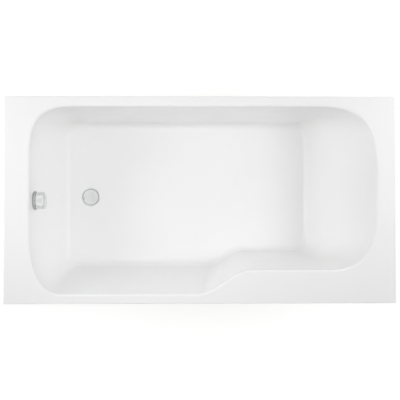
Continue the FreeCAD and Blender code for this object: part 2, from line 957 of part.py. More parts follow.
def hose_nut(base, direction):
    """A coupling nut over the joint of a tail and the hose, with a lip behind the tail."""
    outer = hose_radius + nut_wall
    nut = ring(outer, hose_radius + seat, nut_length, base, direction)
    lip = ring(outer, tail_radius + loose, nut_lip, base - direction * nut_lip, direction)
    return nut.fuse(lip).removeSplitter()


def hose_nut_top():
    return hose_nut(hose_top - DOWN * nut_length / 2, DOWN)


def hose_nut_bottom():
    return hose_nut(hose_end + hose_heading * nut_length / 2, hose_heading * -1)


def cable_clip():
    """Two open rings joined by a web that hold the cable beside the hose."""
    level = tail_end_z - cable_clip_drop
    base = V(tail_x, overflow_y, level)
    side = V(cable_x, cable_y, level)
    gap = hose_radius + loose
    clip = rod(gap + cable_clip_wall, cable_clip_height, base, UP)
    clip = clip.fuse(rod(cable_radius + loose + cable_clip_wall, cable_clip_height, side, UP))
    half = cable_clip_wall / 2
    web = box(V(0, -half, 0), V((side - base).Length, half, cable_clip_height))
    web.rotate(V(0, 0, 0), UP, math.degrees(math.atan2(side.y - base.y, side.x - base.x)))
    web.translate(base)
    clip = clip.fuse(web).cut(rod(gap, cable_clip_height, base, UP))
    return clip.cut(rod(cable_radius + loose, cable_clip_height, side, UP)).removeSplitter()


def overflow_ring_seal():
    outer = ring_radius - ring_wall
    inner = pad_hole_radius + ring_seal_thickness
    return ring(outer, inner, ring_seal_thickness, at_overflow(seat_x), INWARD)


def overflow_rosette():
    """The chrome ring on the wall: windowed plate, skirt with slots below, collar and spindle hub."""
    plate = rod(ring_radius, ring_plate, at_overflow(ring_plate_x), INWARD)
    skirt = ring(ring_radius, ring_radius - ring_wall, ring_depth, at_overflow(ring_plate_x), INWARD)
    for side in (-1, 0, 1):
        slot = box(
            V(ring_plate_x + ring_plate, -ring_slot_width / 2, -ring_radius - ring_wall),
            V(ring_front_x - ring_plate, ring_slot_width / 2, -ring_radius + 2 * ring_slot_height),
        )
        slot.rotate(V(0, 0, 0), INWARD, side * ring_slot_spread)
        slot.translate(overflow)
        skirt = skirt.cut(slot)
    collar_base = at_overflow(ring_plate_x - collar_length)
    collar = ring(collar_radius, collar_radius - collar_wall, collar_length, collar_base, INWARD)
    hub_base = at_overflow(ring_plate_x + ring_plate - spindle_hub_length / 2)
    hub = rod(spindle_hub_radius, spindle_hub_length, hub_base, INWARD)
    rosette = plate.fuse(skirt).fuse(collar).fuse(hub)
    for window in range(ring_window_count):
        angle = math.pi * (2 * window + 1) / ring_window_count
        spot = around_overflow(ring_plate_x, ring_window_place, angle)
        rosette = rosette.cut(rod(ring_window_radius, ring_plate, spot, INWARD))
    for side in (-1, 1):
        spot = at_overflow(ring_plate_x) + V(0, side * screw_place, 0)
        rosette = rosette.cut(rod(screw_radius, ring_plate, spot, INWARD))
    bore = rod(spindle_radius + running, 2 * spindle_hub_length, hub_base, INWARD)
    return rosette.cut(bore).removeSplitter()


def overflow_screws():
    """Two screws from the ring's plate into the bosses behind the wall."""
    screws = []
    for side in (-1, 1):
        spot = at_overflow(ring_plate_x + ring_plate) + V(0, side * screw_place, 0)
        tip = V(barrel_x - boss_length / 2, spot.y, spot.z)
        shank = rod(screw_radius - loose, spot.x - tip.x, tip, INWARD)
        screws.append(shank.fuse(rod(screw_head_radius - loose, screw_head_height, spot, INWARD)))
    return Part.makeCompound(screws)


def overflow_body():
    """The box behind the wall: flange, barrel, tail for the hose and the cable's anchor."""
    body = rod(overflow_flange_radius, overflow_flange_thickness, at_overflow(barrel_x), INWARD)
    body = body.fuse(rod(barrel_radius, barrel_length, at_overflow(barrel_end_x), INWARD))
    tail_base = V(tail_x, overflow_y, tail_end_z)
    body = body.fuse(rod(tail_radius, tail_reach, tail_base, UP))
    half = anchor_width / 2
    low = V(cable_x - half, cable_y - half, anchor_low)
    high = V(cable_x - half + anchor_depth, cable_y + half, anchor_top)
    body = body.fuse(box(low, high))
    bore_long = flange_x - barrel_end_x - barrel_wall
    bore_start = at_overflow(barrel_end_x + barrel_wall)
    body = body.cut(rod(barrel_radius - barrel_wall, bore_long, bore_start, INWARD))
    body = body.cut(rod(tail_radius - tail_wall, tail_reach, tail_base, UP))
    for side in (-1, 1):
        spot = at_overflow(barrel_x - boss_length) + V(0, side * screw_place, 0)
        boss = rod(boss_radius, boss_length, spot, INWARD)
        boss = boss.cut(rod(screw_radius - loose + running, boss_length, spot, INWARD))
        body = body.fuse(boss)
    socket = V(cable_x, cable_y, anchor_low)
    body = body.cut(rod(cable_radius + running, anchor_height - ferrule_socket, socket, UP))
    body = body.cut(rod(cable_wire_radius, anchor_height, socket, UP))
    bore_base = at_overflow(barrel_end_x - barrel_wall)
    return body.cut(rod(spindle_radius + running, 2 * barrel_wall, bore_base, INWARD)).removeSplitter()


def overflow_gasket():
    inner = pad_hole_radius + ring_seal_thickness
    return ring(overflow_flange_radius, inner, overflow_gasket_thickness, at_overflow(flange_x), INWARD)


def spindle_seal():
    base = at_overflow(barrel_end_x - spindle_seal_thickness)
    return ring(spindle_hub_radius, spindle_radius + seat, spindle_seal_thickness, base, INWARD)


def knob_spindle():
    """The shaft from the knob through the overflow to the cam, grooved for its clip."""
    start = clip_x - spindle_tail
    end = knob_front_x - knob_front - seat
    spindle = rod(spindle_radius, end - start, at_overflow(start), INWARD)
    inner = spindle_radius - clip_groove
    groove = ring(spindle_radius + loose, inner, clip_thickness + loose / 2, at_overflow(clip_x), INWARD)
    return spindle.cut(groove)


def spindle_clip():
    inner = spindle_radius - clip_groove + running
    return ring(clip_radius, inner, clip_thickness, at_overflow(clip_x), INWARD)


def cable_cam():
    """The grooved disc that pulls the cable, with round windows."""
    disc = rod(cam_radius, cam_thickness, at_overflow(cam_back_x), INWARD)
    middle = at_overflow((cam_back_x + cam_front_x) / 2)
    groove = Part.makeTorus(cam_radius, cam_groove, middle, INWARD)
    disc = disc.cut(groove)
    for window in range(cam_window_count):
        angle = 2 * math.pi * window / cam_window_count
        spot = around_overflow(cam_back_x, cam_window_place, angle)
        disc = disc.cut(rod(cam_window_radius, cam_thickness, spot, INWARD))
    return disc.cut(rod(spindle_radius + running, cam_thickness, at_overflow(cam_back_x), INWARD))


def overflow_knob():
    """The chrome knob: a deep cup with a hub, its front edge well rounded outside and inside."""
    knob = rod(knob_radius, knob_depth, at_overflow(knob_back_x), INWARD)
    front = [edge for edge in knob.Edges if edge.BoundBox.XMin > knob_front_x - knob_round]
    knob = knob.makeFillet(knob_round, front)
    cavity_long = knob_depth - knob_front
    cavity = ring(knob_radius - knob_wall, knob_hub_radius, cavity_long, at_overflow(knob_back_x), INWARD)
    middle_x = knob_back_x + cavity_long / 2
    wide = [edge for edge in cavity.Edges if edge.BoundBox.YLength > knob_radius]
    far = [edge for edge in wide if edge.BoundBox.XMin > middle_x]
    cavity = cavity.makeFillet(knob_round - knob_wall, far)
    hub_start = knob_front_x - knob_front - knob_hub_length
    clear = rod(knob_radius - knob_wall, hub_start - knob_back_x, at_overflow(knob_back_x), INWARD)
    knob = knob.cut(cavity).cut(clear)
    bore = rod(spindle_radius + running, knob_hub_length, at_overflow(hub_start), INWARD)
    grub_x = hub_start + knob_hub_length / 2
    grub_hole = rod(grub_radius + running, knob_radius, at_overflow(grub_x), DOWN)
    return knob.cut(bore).cut(grub_hole)


def knob_screw():
    """The grub screw that holds the knob on its spindle, reached through the knob's side."""
    hub_start = knob_front_x - knob_front - knob_hub_length
    base = at_overflow(hub_start + knob_hub_length / 2) + DOWN * (spindle_radius + running)
    return rod(grub_radius, grub_length, base, DOWN)


def trap_levels():
    """Heights in the trap: the collar's top, the cup's top and the cup's end."""
    cup_end = trap_clearance + trap_cap_thickness + cap_seal_thickness
    return spigot_end + trap_collar_height, spigot_end, cup_end


def trap_body():
    """The cup with its collar, the dip tube inside it and the side outlet."""
    _, top, cup_end = trap_levels()
    cup = rod(trap_radius, top - cup_end, at_drain(cup_end), UP)
    cup = cup.fuse(rod(outlet_radius, trap_radius + outlet_stub, at_drain(outlet_height), BACKWARD))
    cup = cup.cut(rod(trap_radius - trap_wall, top - cup_end - trap_plate, at_drain(cup_end), UP))
    side_bore = outlet_radius - outlet_wall
    cup = cup.cut(rod(side_bore, trap_radius + outlet_stub, at_drain(outlet_height), BACKWARD))
    dip = spigot_radius - spigot_wall
    tube_end = cup_end + trap_tube_lift
    cup = cup.fuse(rod(dip + spigot_wall / 2, top - tube_end, at_drain(tube_end), UP))
    collar_outer = spigot_radius + loose + trap_collar_wall
    cup = cup.fuse(rod(collar_outer, trap_collar_height, at_drain(top), UP))
    cup = cup.cut(rod(spigot_radius + loose, trap_collar_height, at_drain(top), UP))
    return cup.cut(rod(dip, top - tube_end, at_drain(tube_end), UP)).removeSplitter()


def trap_seal():
    collar_top = trap_levels()[0]
    outer = spigot_radius + trap_collar_wall
    base = at_drain(collar_top)
    return ring(outer, spigot_radius + running, seal_thickness, base, UP)


def trap_nut():
    """The coupling nut over the collar and its seal."""
    collar_top, top, _ = trap_levels()
    inner = spigot_radius + 2 * loose + trap_collar_wall
    outer = inner + trap_nut_wall
    seal_top = collar_top + seal_thickness
    nut = ring(outer, inner, seal_top - top - loose, at_drain(top + loose), UP)
    lip = ring(outer, spigot_radius + loose, seal_thickness, at_drain(seal_top), UP)
    return nut.fuse(lip).removeSplitter()


def trap_cap_seal():
    cup_end = trap_levels()[2]
    inner = trap_radius - 2 * trap_wall
    return ring(trap_radius, inner, cap_seal_thickness, at_drain(cup_end - cap_seal_thickness), UP)


def trap_cap():
    """The round cap that closes the cup from below, with a grip web."""
    cap = rod(trap_radius, trap_cap_thickness, at_drain(trap_clearance), UP)
    half = V(trap_grip_length / 2, trap_wall, 0)
    grip = box(at_drain(trap_clearance) - half, at_drain(trap_clearance + trap_cap_thickness / 2) + half)
    pocket = rod(trap_pocket_radius, trap_cap_thickness / 2, at_drain(trap_clearance), UP)
    return cap.cut(pocket.cut(grip))


def outlet_start():
    """The end of the trap's side outlet."""
    return at_drain(outlet_height) + BACKWARD * (trap_radius + outlet_stub)


def outlet_seal():
    return ring(outlet_radius, outlet_radius - outlet_wall, outlet_seal_thickness, outlet_start(), BACKWARD)


def outlet_pipe():
    """The pipe to the house's drain: its spigot ends at a bead that stops the socket."""
    base = outlet_start() + BACKWARD * outlet_seal_thickness
    bead_base = base + BACKWARD * (outlet_length - outlet_spigot_length - outlet_bead_width)
    pipe = rod(outlet_radius, outlet_length, base, BACKWARD)
    pipe = pipe.fuse(rod(outlet_radius + outlet_bead, outlet_bead_width, bead_base, BACKWARD))
    return pipe.cut(rod(outlet_radius - outlet_wall, outlet_length, base, BACKWARD))


def outlet_nut():
    base = outlet_start() - BACKWARD * outlet_nut_length / 2
    return ring(outlet_radius + outlet_nut_wall, outlet_radius + seat, outlet_nut_length, base, BACKWARD)


def parts():
    """Every node by name."""
    singles = [
        tub_shell,
        base_board,
        rim_batten_back,
        rim_batten_front,
        rim_board_left,
        rim_board_right,
        rim_board_front,
        wall_bracket_back_1,
        wall_bracket_back_2,
        wall_bracket_left,
        cross_bar_left,
        cross_bar_right,
        centre_bracket,
        bar_screws,
        weld_nuts,
        lock_nuts,
        waste_top_seal,
        waste_flange,
        waste_gasket,
        waste_body,
        plug_cap,
        plug_seal,
        plug_stem,
        lift_pin,
        overflow_ring_seal,
        overflow_rosette,
        overflow_screws,
        overflow_gasket,
        overflow_body,
        spindle_seal,
        knob_spindle,
        spindle_clip,
        cable_cam,
        overflow_knob,
        knob_screw,
        cable_sleeve,
        cable_ferrule,
        cable_gland,
        cable_clip,
        overflow_hose,
        hose_nut_top,
        hose_nut_bottom,
        trap_nut,
        trap_seal,
        trap_body,
        trap_cap_seal,
        trap_cap,
        outlet_seal,
        outlet_nut,
        outlet_pipe,
    ]
    shapes = {make.__name__: make() for make in singles}
    for index in range(len(foot_points())):
        shapes["foot_rod_%d" % (index + 1)] = foot_rod(index)
        shapes["foot_pad_%d" % (index + 1)] = foot_pad(index)
    return shapes


def export():
    os.makedirs("parts", exist_ok=True)
    for name, shape in parts().items():
        print(name, len(shape.Solids), "solids", round(shape.Volume), "mm3", "valid", shape.isValid())
        shape.exportStep(os.path.join("parts", name + ".step"))


export()
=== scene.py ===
import json
import math

import bmesh
import bpy
import numpy as np
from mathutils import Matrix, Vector
from mathutils.geometry import tessellate_polygon

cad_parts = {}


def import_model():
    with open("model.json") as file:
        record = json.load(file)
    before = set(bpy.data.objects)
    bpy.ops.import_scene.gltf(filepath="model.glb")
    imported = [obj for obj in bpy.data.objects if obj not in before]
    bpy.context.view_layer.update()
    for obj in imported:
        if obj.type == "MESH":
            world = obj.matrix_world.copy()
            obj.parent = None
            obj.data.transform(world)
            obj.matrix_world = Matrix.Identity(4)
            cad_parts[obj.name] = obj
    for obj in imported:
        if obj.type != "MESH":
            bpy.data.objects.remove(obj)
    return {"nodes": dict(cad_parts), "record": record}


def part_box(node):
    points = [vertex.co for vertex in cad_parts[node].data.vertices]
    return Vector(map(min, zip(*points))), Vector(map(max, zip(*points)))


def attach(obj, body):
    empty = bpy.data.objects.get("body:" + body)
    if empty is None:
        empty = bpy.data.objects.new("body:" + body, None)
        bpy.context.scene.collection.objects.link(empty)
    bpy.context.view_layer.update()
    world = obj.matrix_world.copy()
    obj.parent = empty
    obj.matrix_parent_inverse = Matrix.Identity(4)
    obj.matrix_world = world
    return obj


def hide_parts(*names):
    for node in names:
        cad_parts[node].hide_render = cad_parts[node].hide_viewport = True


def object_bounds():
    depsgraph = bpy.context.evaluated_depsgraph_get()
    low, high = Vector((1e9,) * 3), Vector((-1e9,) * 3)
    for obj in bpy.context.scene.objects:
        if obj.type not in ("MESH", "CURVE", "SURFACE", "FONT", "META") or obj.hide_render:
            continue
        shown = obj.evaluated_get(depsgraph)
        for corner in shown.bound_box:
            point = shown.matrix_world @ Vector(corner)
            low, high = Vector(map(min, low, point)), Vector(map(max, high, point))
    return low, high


# Lengths are in metres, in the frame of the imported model: X along the tub with the waste at -X, Y to
# the wall behind the tub, Z up, and the origin on the floor under the middle of the rim.

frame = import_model()
cad_low, cad_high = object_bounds()

MM = 0.001

# Roundings of small edges and inner corners, from crisp to soft
hair_edge = 0.3 * MM
crisp_edge = 0.4 * MM
fine_edge = 0.5 * MM
plain_edge = 0.6 * MM
eased_edge = 0.8 * MM
soft_edge = 0.9 * MM
round_edge = 1 * MM

# Tub
rim_height = cad_high.z
half_length = cad_high.x
half_width = cad_high.y
shell_wall = 8 * MM
sheet_wall = 4.5 * MM
layer_gap = 0.05 * MM
lip_drop = 35 * MM
backing_lip_gap = 7 * MM
basin_depth = 415 * MM
floor_fall = 6 * MM
floor_radius = 28 * MM
end_radius = 13 * MM
rim_roll = 8 * MM
rim_edge_radius = 4 * MM
rim_corner_radius = 5 * MM
wall_top = rim_roll
wall_end = basin_depth - floor_radius

# The least that the rim's edges and its roll are rounded by on the inner faces of the shell
least_round = 1 * MM
least_roll = 0.5 * MM

# How far beside a rounding an extra row of points keeps the flat face flat
support = 1.5 * MM

# The basin's edges at the rim, how far each wall runs inwards, and the edges of the floor
rim_left = -half_length + 109 * MM
rim_right = half_length - 81 * MM
rim_back = half_width - 44 * MM
rim_front = -half_width + 40 * MM
rim_narrow = -half_width + 143 * MM
run_left = 107 * MM
run_right = 249 * MM
run_back = 30 * MM
run_front = 104 * MM
run_narrow = 73 * MM
floor_left = rim_left + run_left
floor_right = rim_right - run_right
floor_back = rim_back - run_back
floor_front = rim_front + run_front
floor_narrow = rim_narrow + run_narrow
floor_slope = floor_fall / (floor_right - floor_left)
bow_end_share = 1.6
bow_side_share = 1.1

# Corners, at the rim and at the floor: reach along X and Y as shares of the opening, and fullness
corner_shares = {
    "back_left": ((0.133, 0.261, 0.76), (0.054, 0.091, 0.6)),
    "back_right": ((0.162, 0.414, 0.73), (0.054, 0.148, 0.6)),
    "front_right": ((0.136, 0.373, 0.68), (0.054, 0.148, 0.6)),
    "front_left": ((0.097, 0.297, 0.64), (0.054, 0.103, 0.6)),
}
step_rim = (-14 * MM, 233 * MM)
step_floor = (30 * MM, 230 * MM)
step_rim_handle_share = (0.42, 0.35)
step_floor_handle_share = (0.5, 0.5)
step_slide_share = 0.4

# Waste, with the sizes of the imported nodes
drain = Vector((floor_left + 106 * MM, 20 * MM, 0))
drain_hole_radius = 26 * MM
drain_recess_radius = 41 * MM
drain_recess_flare = 2 * MM
drain_recess_depth = 2.5 * MM
drain_recess_ease = 1 * MM
drain_hole_edge = 0.5 * MM
floor_margin = 4 * MM
flange_radius = 40 * MM
flange_lip = 3 * MM
flange_round = 1.3 * MM
flange_seat_radius = 33 * MM
flange_seat_height = 1.2 * MM
sleeve_radius = 24 * MM
sleeve_bore = 21.5 * MM
sleeve_length = 24 * MM
spider_thickness = 4 * MM
spider_width = 5 * MM
spider_arms = 3
spider_overlap = 1 * MM
spider_sink = 0.5 * MM
hub_radius = 7 * MM
hub_bore = 4.08 * MM
hub_length = 14 * MM
plug_radius = 36.5 * MM
plug_edge = 3 * MM
plug_foot = 2.4 * MM
plug_hollow = 0.6 * MM
plug_hollow_inset = 3 * MM
plug_dome = 2.5 * MM
plug_dome_share = 0.96
plug_rim_share = 0.08

# Overflow: its seat in the wall, the ring and the knob
overflow_y = -2 * MM
overflow_depth = 88 * MM
seat_radius = 41 * MM
seat_hole_radius = 27.5 * MM
seat_hole_edge = 0.8 * MM
seat_patch_reach = 62 * MM
seat_edge_out = 1.5 * MM
seat_edge_in = 0.7 * MM
spindle_bore = 5.08 * MM
ring_radius = 39 * MM
ring_wall = 2.5 * MM
ring_plate = 3 * MM
ring_depth = 12 * MM
ring_window_radius = 5 * MM
ring_window_place = 17 * MM
ring_window_count = 6
ring_slot = Vector((6, 9, 12)) * MM
ring_slot_spread = 30
screw_place = 20 * MM
collar_radius = 26 * MM
collar_bore = 24 * MM
collar_length = 15 * MM
ring_hub_radius = 8 * MM
ring_hub_length = 18 * MM
knob_radius = 38.5 * MM
knob_depth = 39 * MM
knob_wall = 3 * MM
knob_front = 8 * MM
knob_round = 14 * MM
knob_back_round = 2.3 * MM
knob_hub_radius = 9 * MM
knob_hub_length = 20 * MM
grub_radius = 2.08 * MM

# Screws and nuts
screw_radius = 2.5 * MM
screw_head_radius = 4.5 * MM
screw_head_height = 2.5 * MM
screw_point_share = 3
screw_neck_share = 0.3
head_edge_share = 0.1
head_round_share = 0.34
head_face_share = 0.62
cross_shares = (0.13, 0.5)
cross_taper = 0.7
cross_depth_share = 0.55
overflow_screw_radius = 2.3 * MM
overflow_screw_head_radius = 4.3 * MM
nut_radius = 9.2 * MM
nut_bore = 5.08 * MM
nut_height = 8 * MM
nut_chamfer = 0.9 * MM
nut_face_share = 0.96

# Feet: threaded rods and their pads
rod_radius = 5 * MM
rod_chamfer = 1 * MM
thread_pitch = 1.5 * MM
thread_depth = 0.9 * MM
thread_foot_share = 0.46
thread_crest_share = 0.06
thread_sink_share = 0.25
thread_free_turns = 3
pad_base_radius = 26 * MM
pad_base_height = 8 * MM
pad_hollow = 1.2 * MM
pad_hollow_inset = 6 * MM
pad_foot_inset = 5 * MM
pad_edge_height = 2 * MM
pad_shoulder_drop = 1.5 * MM
pad_shoulder_inset = 3 * MM
pad_shoulder_round = 2 * MM
pad_neck_fillet = 1.5 * MM
pad_neck_radius = 11 * MM
pad_height = 22 * MM
pad_socket = 12 * MM
pad_rib_reach = 22 * MM
pad_rib_width = 2 * MM
pad_rib_sink = 1 * MM
pad_rib_toe = 0.6 * MM
pad_rib_top_reach = 1.5 * MM
pad_rib_top_drop = 2 * MM
pad_rib_root_drop = 1.5 * MM
pad_rib_count = 8

# Where screws pass through the bars and the centre bracket
bar_flange = 18 * MM
bar_screw_inset = 85 * MM
centre_screw_reach = 27 * MM

# Pipes
hose_radius = 16 * MM
hose_groove_radius = 14 * MM
hose_bore_radius = 12.4 * MM
hose_rib_pitch = 7.5 * MM
hose_plain_share = 2
cable_radius = 2.5 * MM
hose_nut_length = 34 * MM
rib_fullness = 0.6
lug_depth_share = 0.35
lug_inset = 0.5 * MM
lug_sharpness = 3

# Coupling nuts: radius, bore, the lip's length and bore, and the count of lugs
hose_nut = (20.7 * MM, 16.3 * MM, 4 * MM, 15.2 * MM, 12)
trap_nut = (30.2 * MM, 24.4 * MM, 1.5 * MM, 20.2 * MM, 16)
outlet_nut = (26 * MM, 20.3 * MM, 0, 20.3 * MM, 14)

# The routes of the overflow hose and of the control cable, in millimetres
hose_route = [
    (-771.7, -2, 450), (-771.7, -2, 345), (-771.7, -2, 275.5), (-771.7, -2, 216.5),
    (-742.5, 0.6, 165.5), (-692, 5.2, 136), (-633, 10.5, 136), (-589.7, 14.4, 136),
]
cable_route = [
    (-797.5, -24, 474), (-797.5, -24, 330), (-797.5, -24, 234), (-797.5, -24, 186.4),
    (-774.5, -28.7, 145.6), (-734.7, -36.8, 122), (-680.2, -47.8, 122), (-624.4, -59.1, 122),
    (-581.9, -44.2, 122), (-547.3, -3, 122), (-528, 20, 122), (-528, 20, 141.5),
]

# How finely the tub's outline is drawn, edge by edge
long_steps = 26
corner_steps = 28
arc_steps = 8
end_steps = 8
narrow_steps = 16
step_steps = 30
wide_steps = 20
overflow_steps = 48
roll_steps = 8
wall_steps = 40
fillet_steps = 10
floor_steps = 9
floor_spacing = 0.5
smooth_steps = 8
lip_steps = 4

# Angles from which shading is sharp, up to which faces merge, and from which edges are bevelled
sharp_angle = math.radians(35)
flat_angle = math.radians(0.5)
bevel_angle = math.radians(40)
weld_reach = 0.001 * MM

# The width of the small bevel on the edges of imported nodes
edge_width = {
    "board": 0.8 * MM,
    "softwood": 1.5 * MM,
    "galvanised": 0.8 * MM,
    "steel": 0.25 * MM,
    "rubber": 0.2 * MM,
}
other_edge_width = 0.4 * MM

# How finely turned and swept pieces are drawn
turn_steps = 96
small_steps = 32
round_steps = 4
dome_steps = 10
cable_rings = 120
thread_steps = 16
line_steps = 32
rib_steps = 6
pad_steps = 64
nut_steps = 72

# The most of an edge that the rounding of one corner may take
corner_room_share = 0.48


def blend(start, end, share):
    return start + (end - start) * share


def straight(start, end, steps):
    """Points from start towards end, without the end."""
    share = np.arange(steps)[:, None] / steps
    return start + (end - start) * share


def bezier(a, b, c, d, steps):
    """Points on a cubic curve from a to d, without d."""
    t = np.arange(steps)[:, None] / steps
    return (1 - t) ** 3 * a + 3 * (1 - t) ** 2 * t * b + 3 * (1 - t) * t ** 2 * c + t ** 3 * d


def depth_share(depth):
    return min(max(depth / basin_depth, 0), 1)


def left_wall_x(depth):
    return rim_left + run_left * depth_share(depth) ** bow_end_share


def corner_reach(name, share, grow):
    """A corner's reach along X and Y, and its fullness, at a share of the depth."""
    wide = name.endswith("left")
    rim_across = rim_back - (rim_front if wide else rim_narrow)
    floor_across = floor_back - (floor_front if wide else floor_narrow)
    (rim_x, rim_y, rim_fullness), (floor_x, floor_y, floor_fullness) = corner_shares[name]
    along = blend(rim_x * (rim_right - rim_left), floor_x * (floor_right - floor_left), share)
    across = blend(rim_y * rim_across, floor_y * floor_across, share)
    return along + grow, across + grow, blend(rim_fullness, floor_fullness, share)


def outline_keys(depth, grow):
    """The ten points where the basin's outline changes, the four corners and the step's handles."""
    share = depth_share(depth)
    shift = share ** bow_side_share
    left = left_wall_x(depth) - grow
    right = rim_right - run_right * shift + grow
    back = rim_back - run_back * shift + grow
    front = rim_front + run_front * shift - grow
    narrow = rim_narrow + run_narrow * shift - grow
    start, end = (blend(a, b, share) + grow * step_slide_share for a, b in zip(step_rim, step_floor))
    handle_shares = zip(step_rim_handle_share, step_floor_handle_share)
    near, far = ((end - start) * blend(a, b, share) for a, b in handle_shares)
    reaches = [corner_reach(name, share, grow) for name in corner_shares]
    back_left, back_right, front_right, front_left = reaches
    keys = [
        (left + back_left[0], back), (right - back_right[0], back), (right, back - back_right[1]),
        (right, narrow + front_right[1]), (right - front_right[0], narrow), (end, narrow),
        (start, front), (left + front_left[0], front), (left, front + front_left[1]),
        (left, back - back_left[1]),
    ]
    corners = [(right, back), (right, narrow), (left, front), (left, back)]
    handles = [(end - near, narrow), (start + far, front)]
    fullness = [back_right[2], front_right[2], front_left[2], back_left[2]]
    return np.array(keys), np.array(corners), np.array(handles), fullness


def walk(keys, corner, step):
    """Points round the ten keys. Two functions give the corners and the step."""
    a, b, c, d, e, f, g, h, i, j = keys
    return np.concatenate([
        straight(a, b, long_steps),
        corner(b, 0, c),
        straight(c, d, end_steps),
        corner(d, 1, e),
        straight(e, f, narrow_steps),
        step(f, g),
        straight(g, h, wide_steps),
        corner(h, 2, i),
        straight(i, j, overflow_steps),
        corner(j, 3, a),
    ])


def outline(depth, grow):
    """The basin's outline at a depth, moved outwards by grow."""
    keys, corners, handles, fullness = outline_keys(depth, grow)

    def corner(start, which, end):
        first, last = (blend(point, corners[which], fullness[which]) for point in (start, end))
        return bezier(start, first, last, end, corner_steps)

    def step(start, end):
        return bezier(start, *handles, end, step_steps)

    return walk(keys, corner, step)


def end_share():
    """1 along both ends of the outline, 0 along its sides, smooth between."""
    rise = smooth_share(np.arange(corner_steps) / corner_steps)
    sides = np.zeros(narrow_steps + step_steps + wide_steps)
    right_end = [rise, np.ones(end_steps), 1 - rise]
    left_end = [rise, np.ones(overflow_steps), 1 - rise]
    return np.concatenate([np.zeros(long_steps), *right_end, sides, *left_end])[:, None]


def outer_outline(inset):
    """The rim's rectangle, inset, with points that face those of the basin."""
    side_steps = (corner_steps - arc_steps) // 2
    radius = max(rim_corner_radius - inset, least_round)
    right, back = half_length - inset, half_width - inset
    corners = np.array([(right, back), (right, -back), (-right, -back), (-right, back)])
    keys = outline_keys(0, rim_roll)[0]
    keys[0:2, 1] = back
    keys[2:4, 0] = right
    keys[4:8, 1] = -back
    keys[8:10, 0] = -right

    def corner(start, which, end):
        bend = corners[which]
        sides = (start - bend, end - bend)
        first, last = (bend + side / np.linalg.norm(side) * radius for side in sides)
        centre = first + last - bend
        angle = math.pi / 2 * np.arange(arc_steps)[:, None] / arc_steps
        arc = centre + (first - centre) * np.cos(angle) + (last - centre) * np.sin(angle)
        return np.concatenate([straight(start, first, side_steps), arc, straight(last, end, side_steps)])

    return walk(keys, corner, lambda start, end: straight(start, end, step_steps))


def quarter(steps, first=0):
    """The sines and cosines of a quarter turn's angles, in equal steps."""
    angles = [math.pi / 2 * step / steps for step in range(first, steps + 1)]
    return [(math.sin(angle), math.cos(angle)) for angle in angles]


def fan(side, up, steps):
    """Directions that stand evenly round a circle."""
    angles = [2 * math.pi * step / steps for step in range(steps)]
    return [side * math.cos(angle) + up * math.sin(angle) for angle in angles]


def square_to(direction):
    """Two directions square to a direction and to each other."""
    side = Vector((0, 1, 0)) if abs(direction.y) < 0.5 else Vector((1, 0, 0))
    up = direction.cross(side).normalized()
    return up.cross(direction), up


def rounded(corners, closed=False):
    """A profile through (radius, along, rounding) corners, each turned by a small curve."""
    points = []
    for k, (radius, along, size) in enumerate(corners):
        corner = Vector((radius, along))
        if size == 0 or (not closed and k in (0, len(corners) - 1)):
            points.append(corner)
            continue
        before = Vector(corners[k - 1][:2]) - corner
        after = Vector(corners[(k + 1) % len(corners)][:2]) - corner
        room = min(before.length, after.length) * corner_room_share
        reach = min(size / math.tan(before.angle(after) / 2), room)
        first = corner + before.normalized() * reach
        last = corner + after.normalized() * reach
        for step in range(round_steps + 1):
            t = step / round_steps
            points.append(first * (1 - t) ** 2 + corner * 2 * t * (1 - t) + last * t ** 2)
    return points


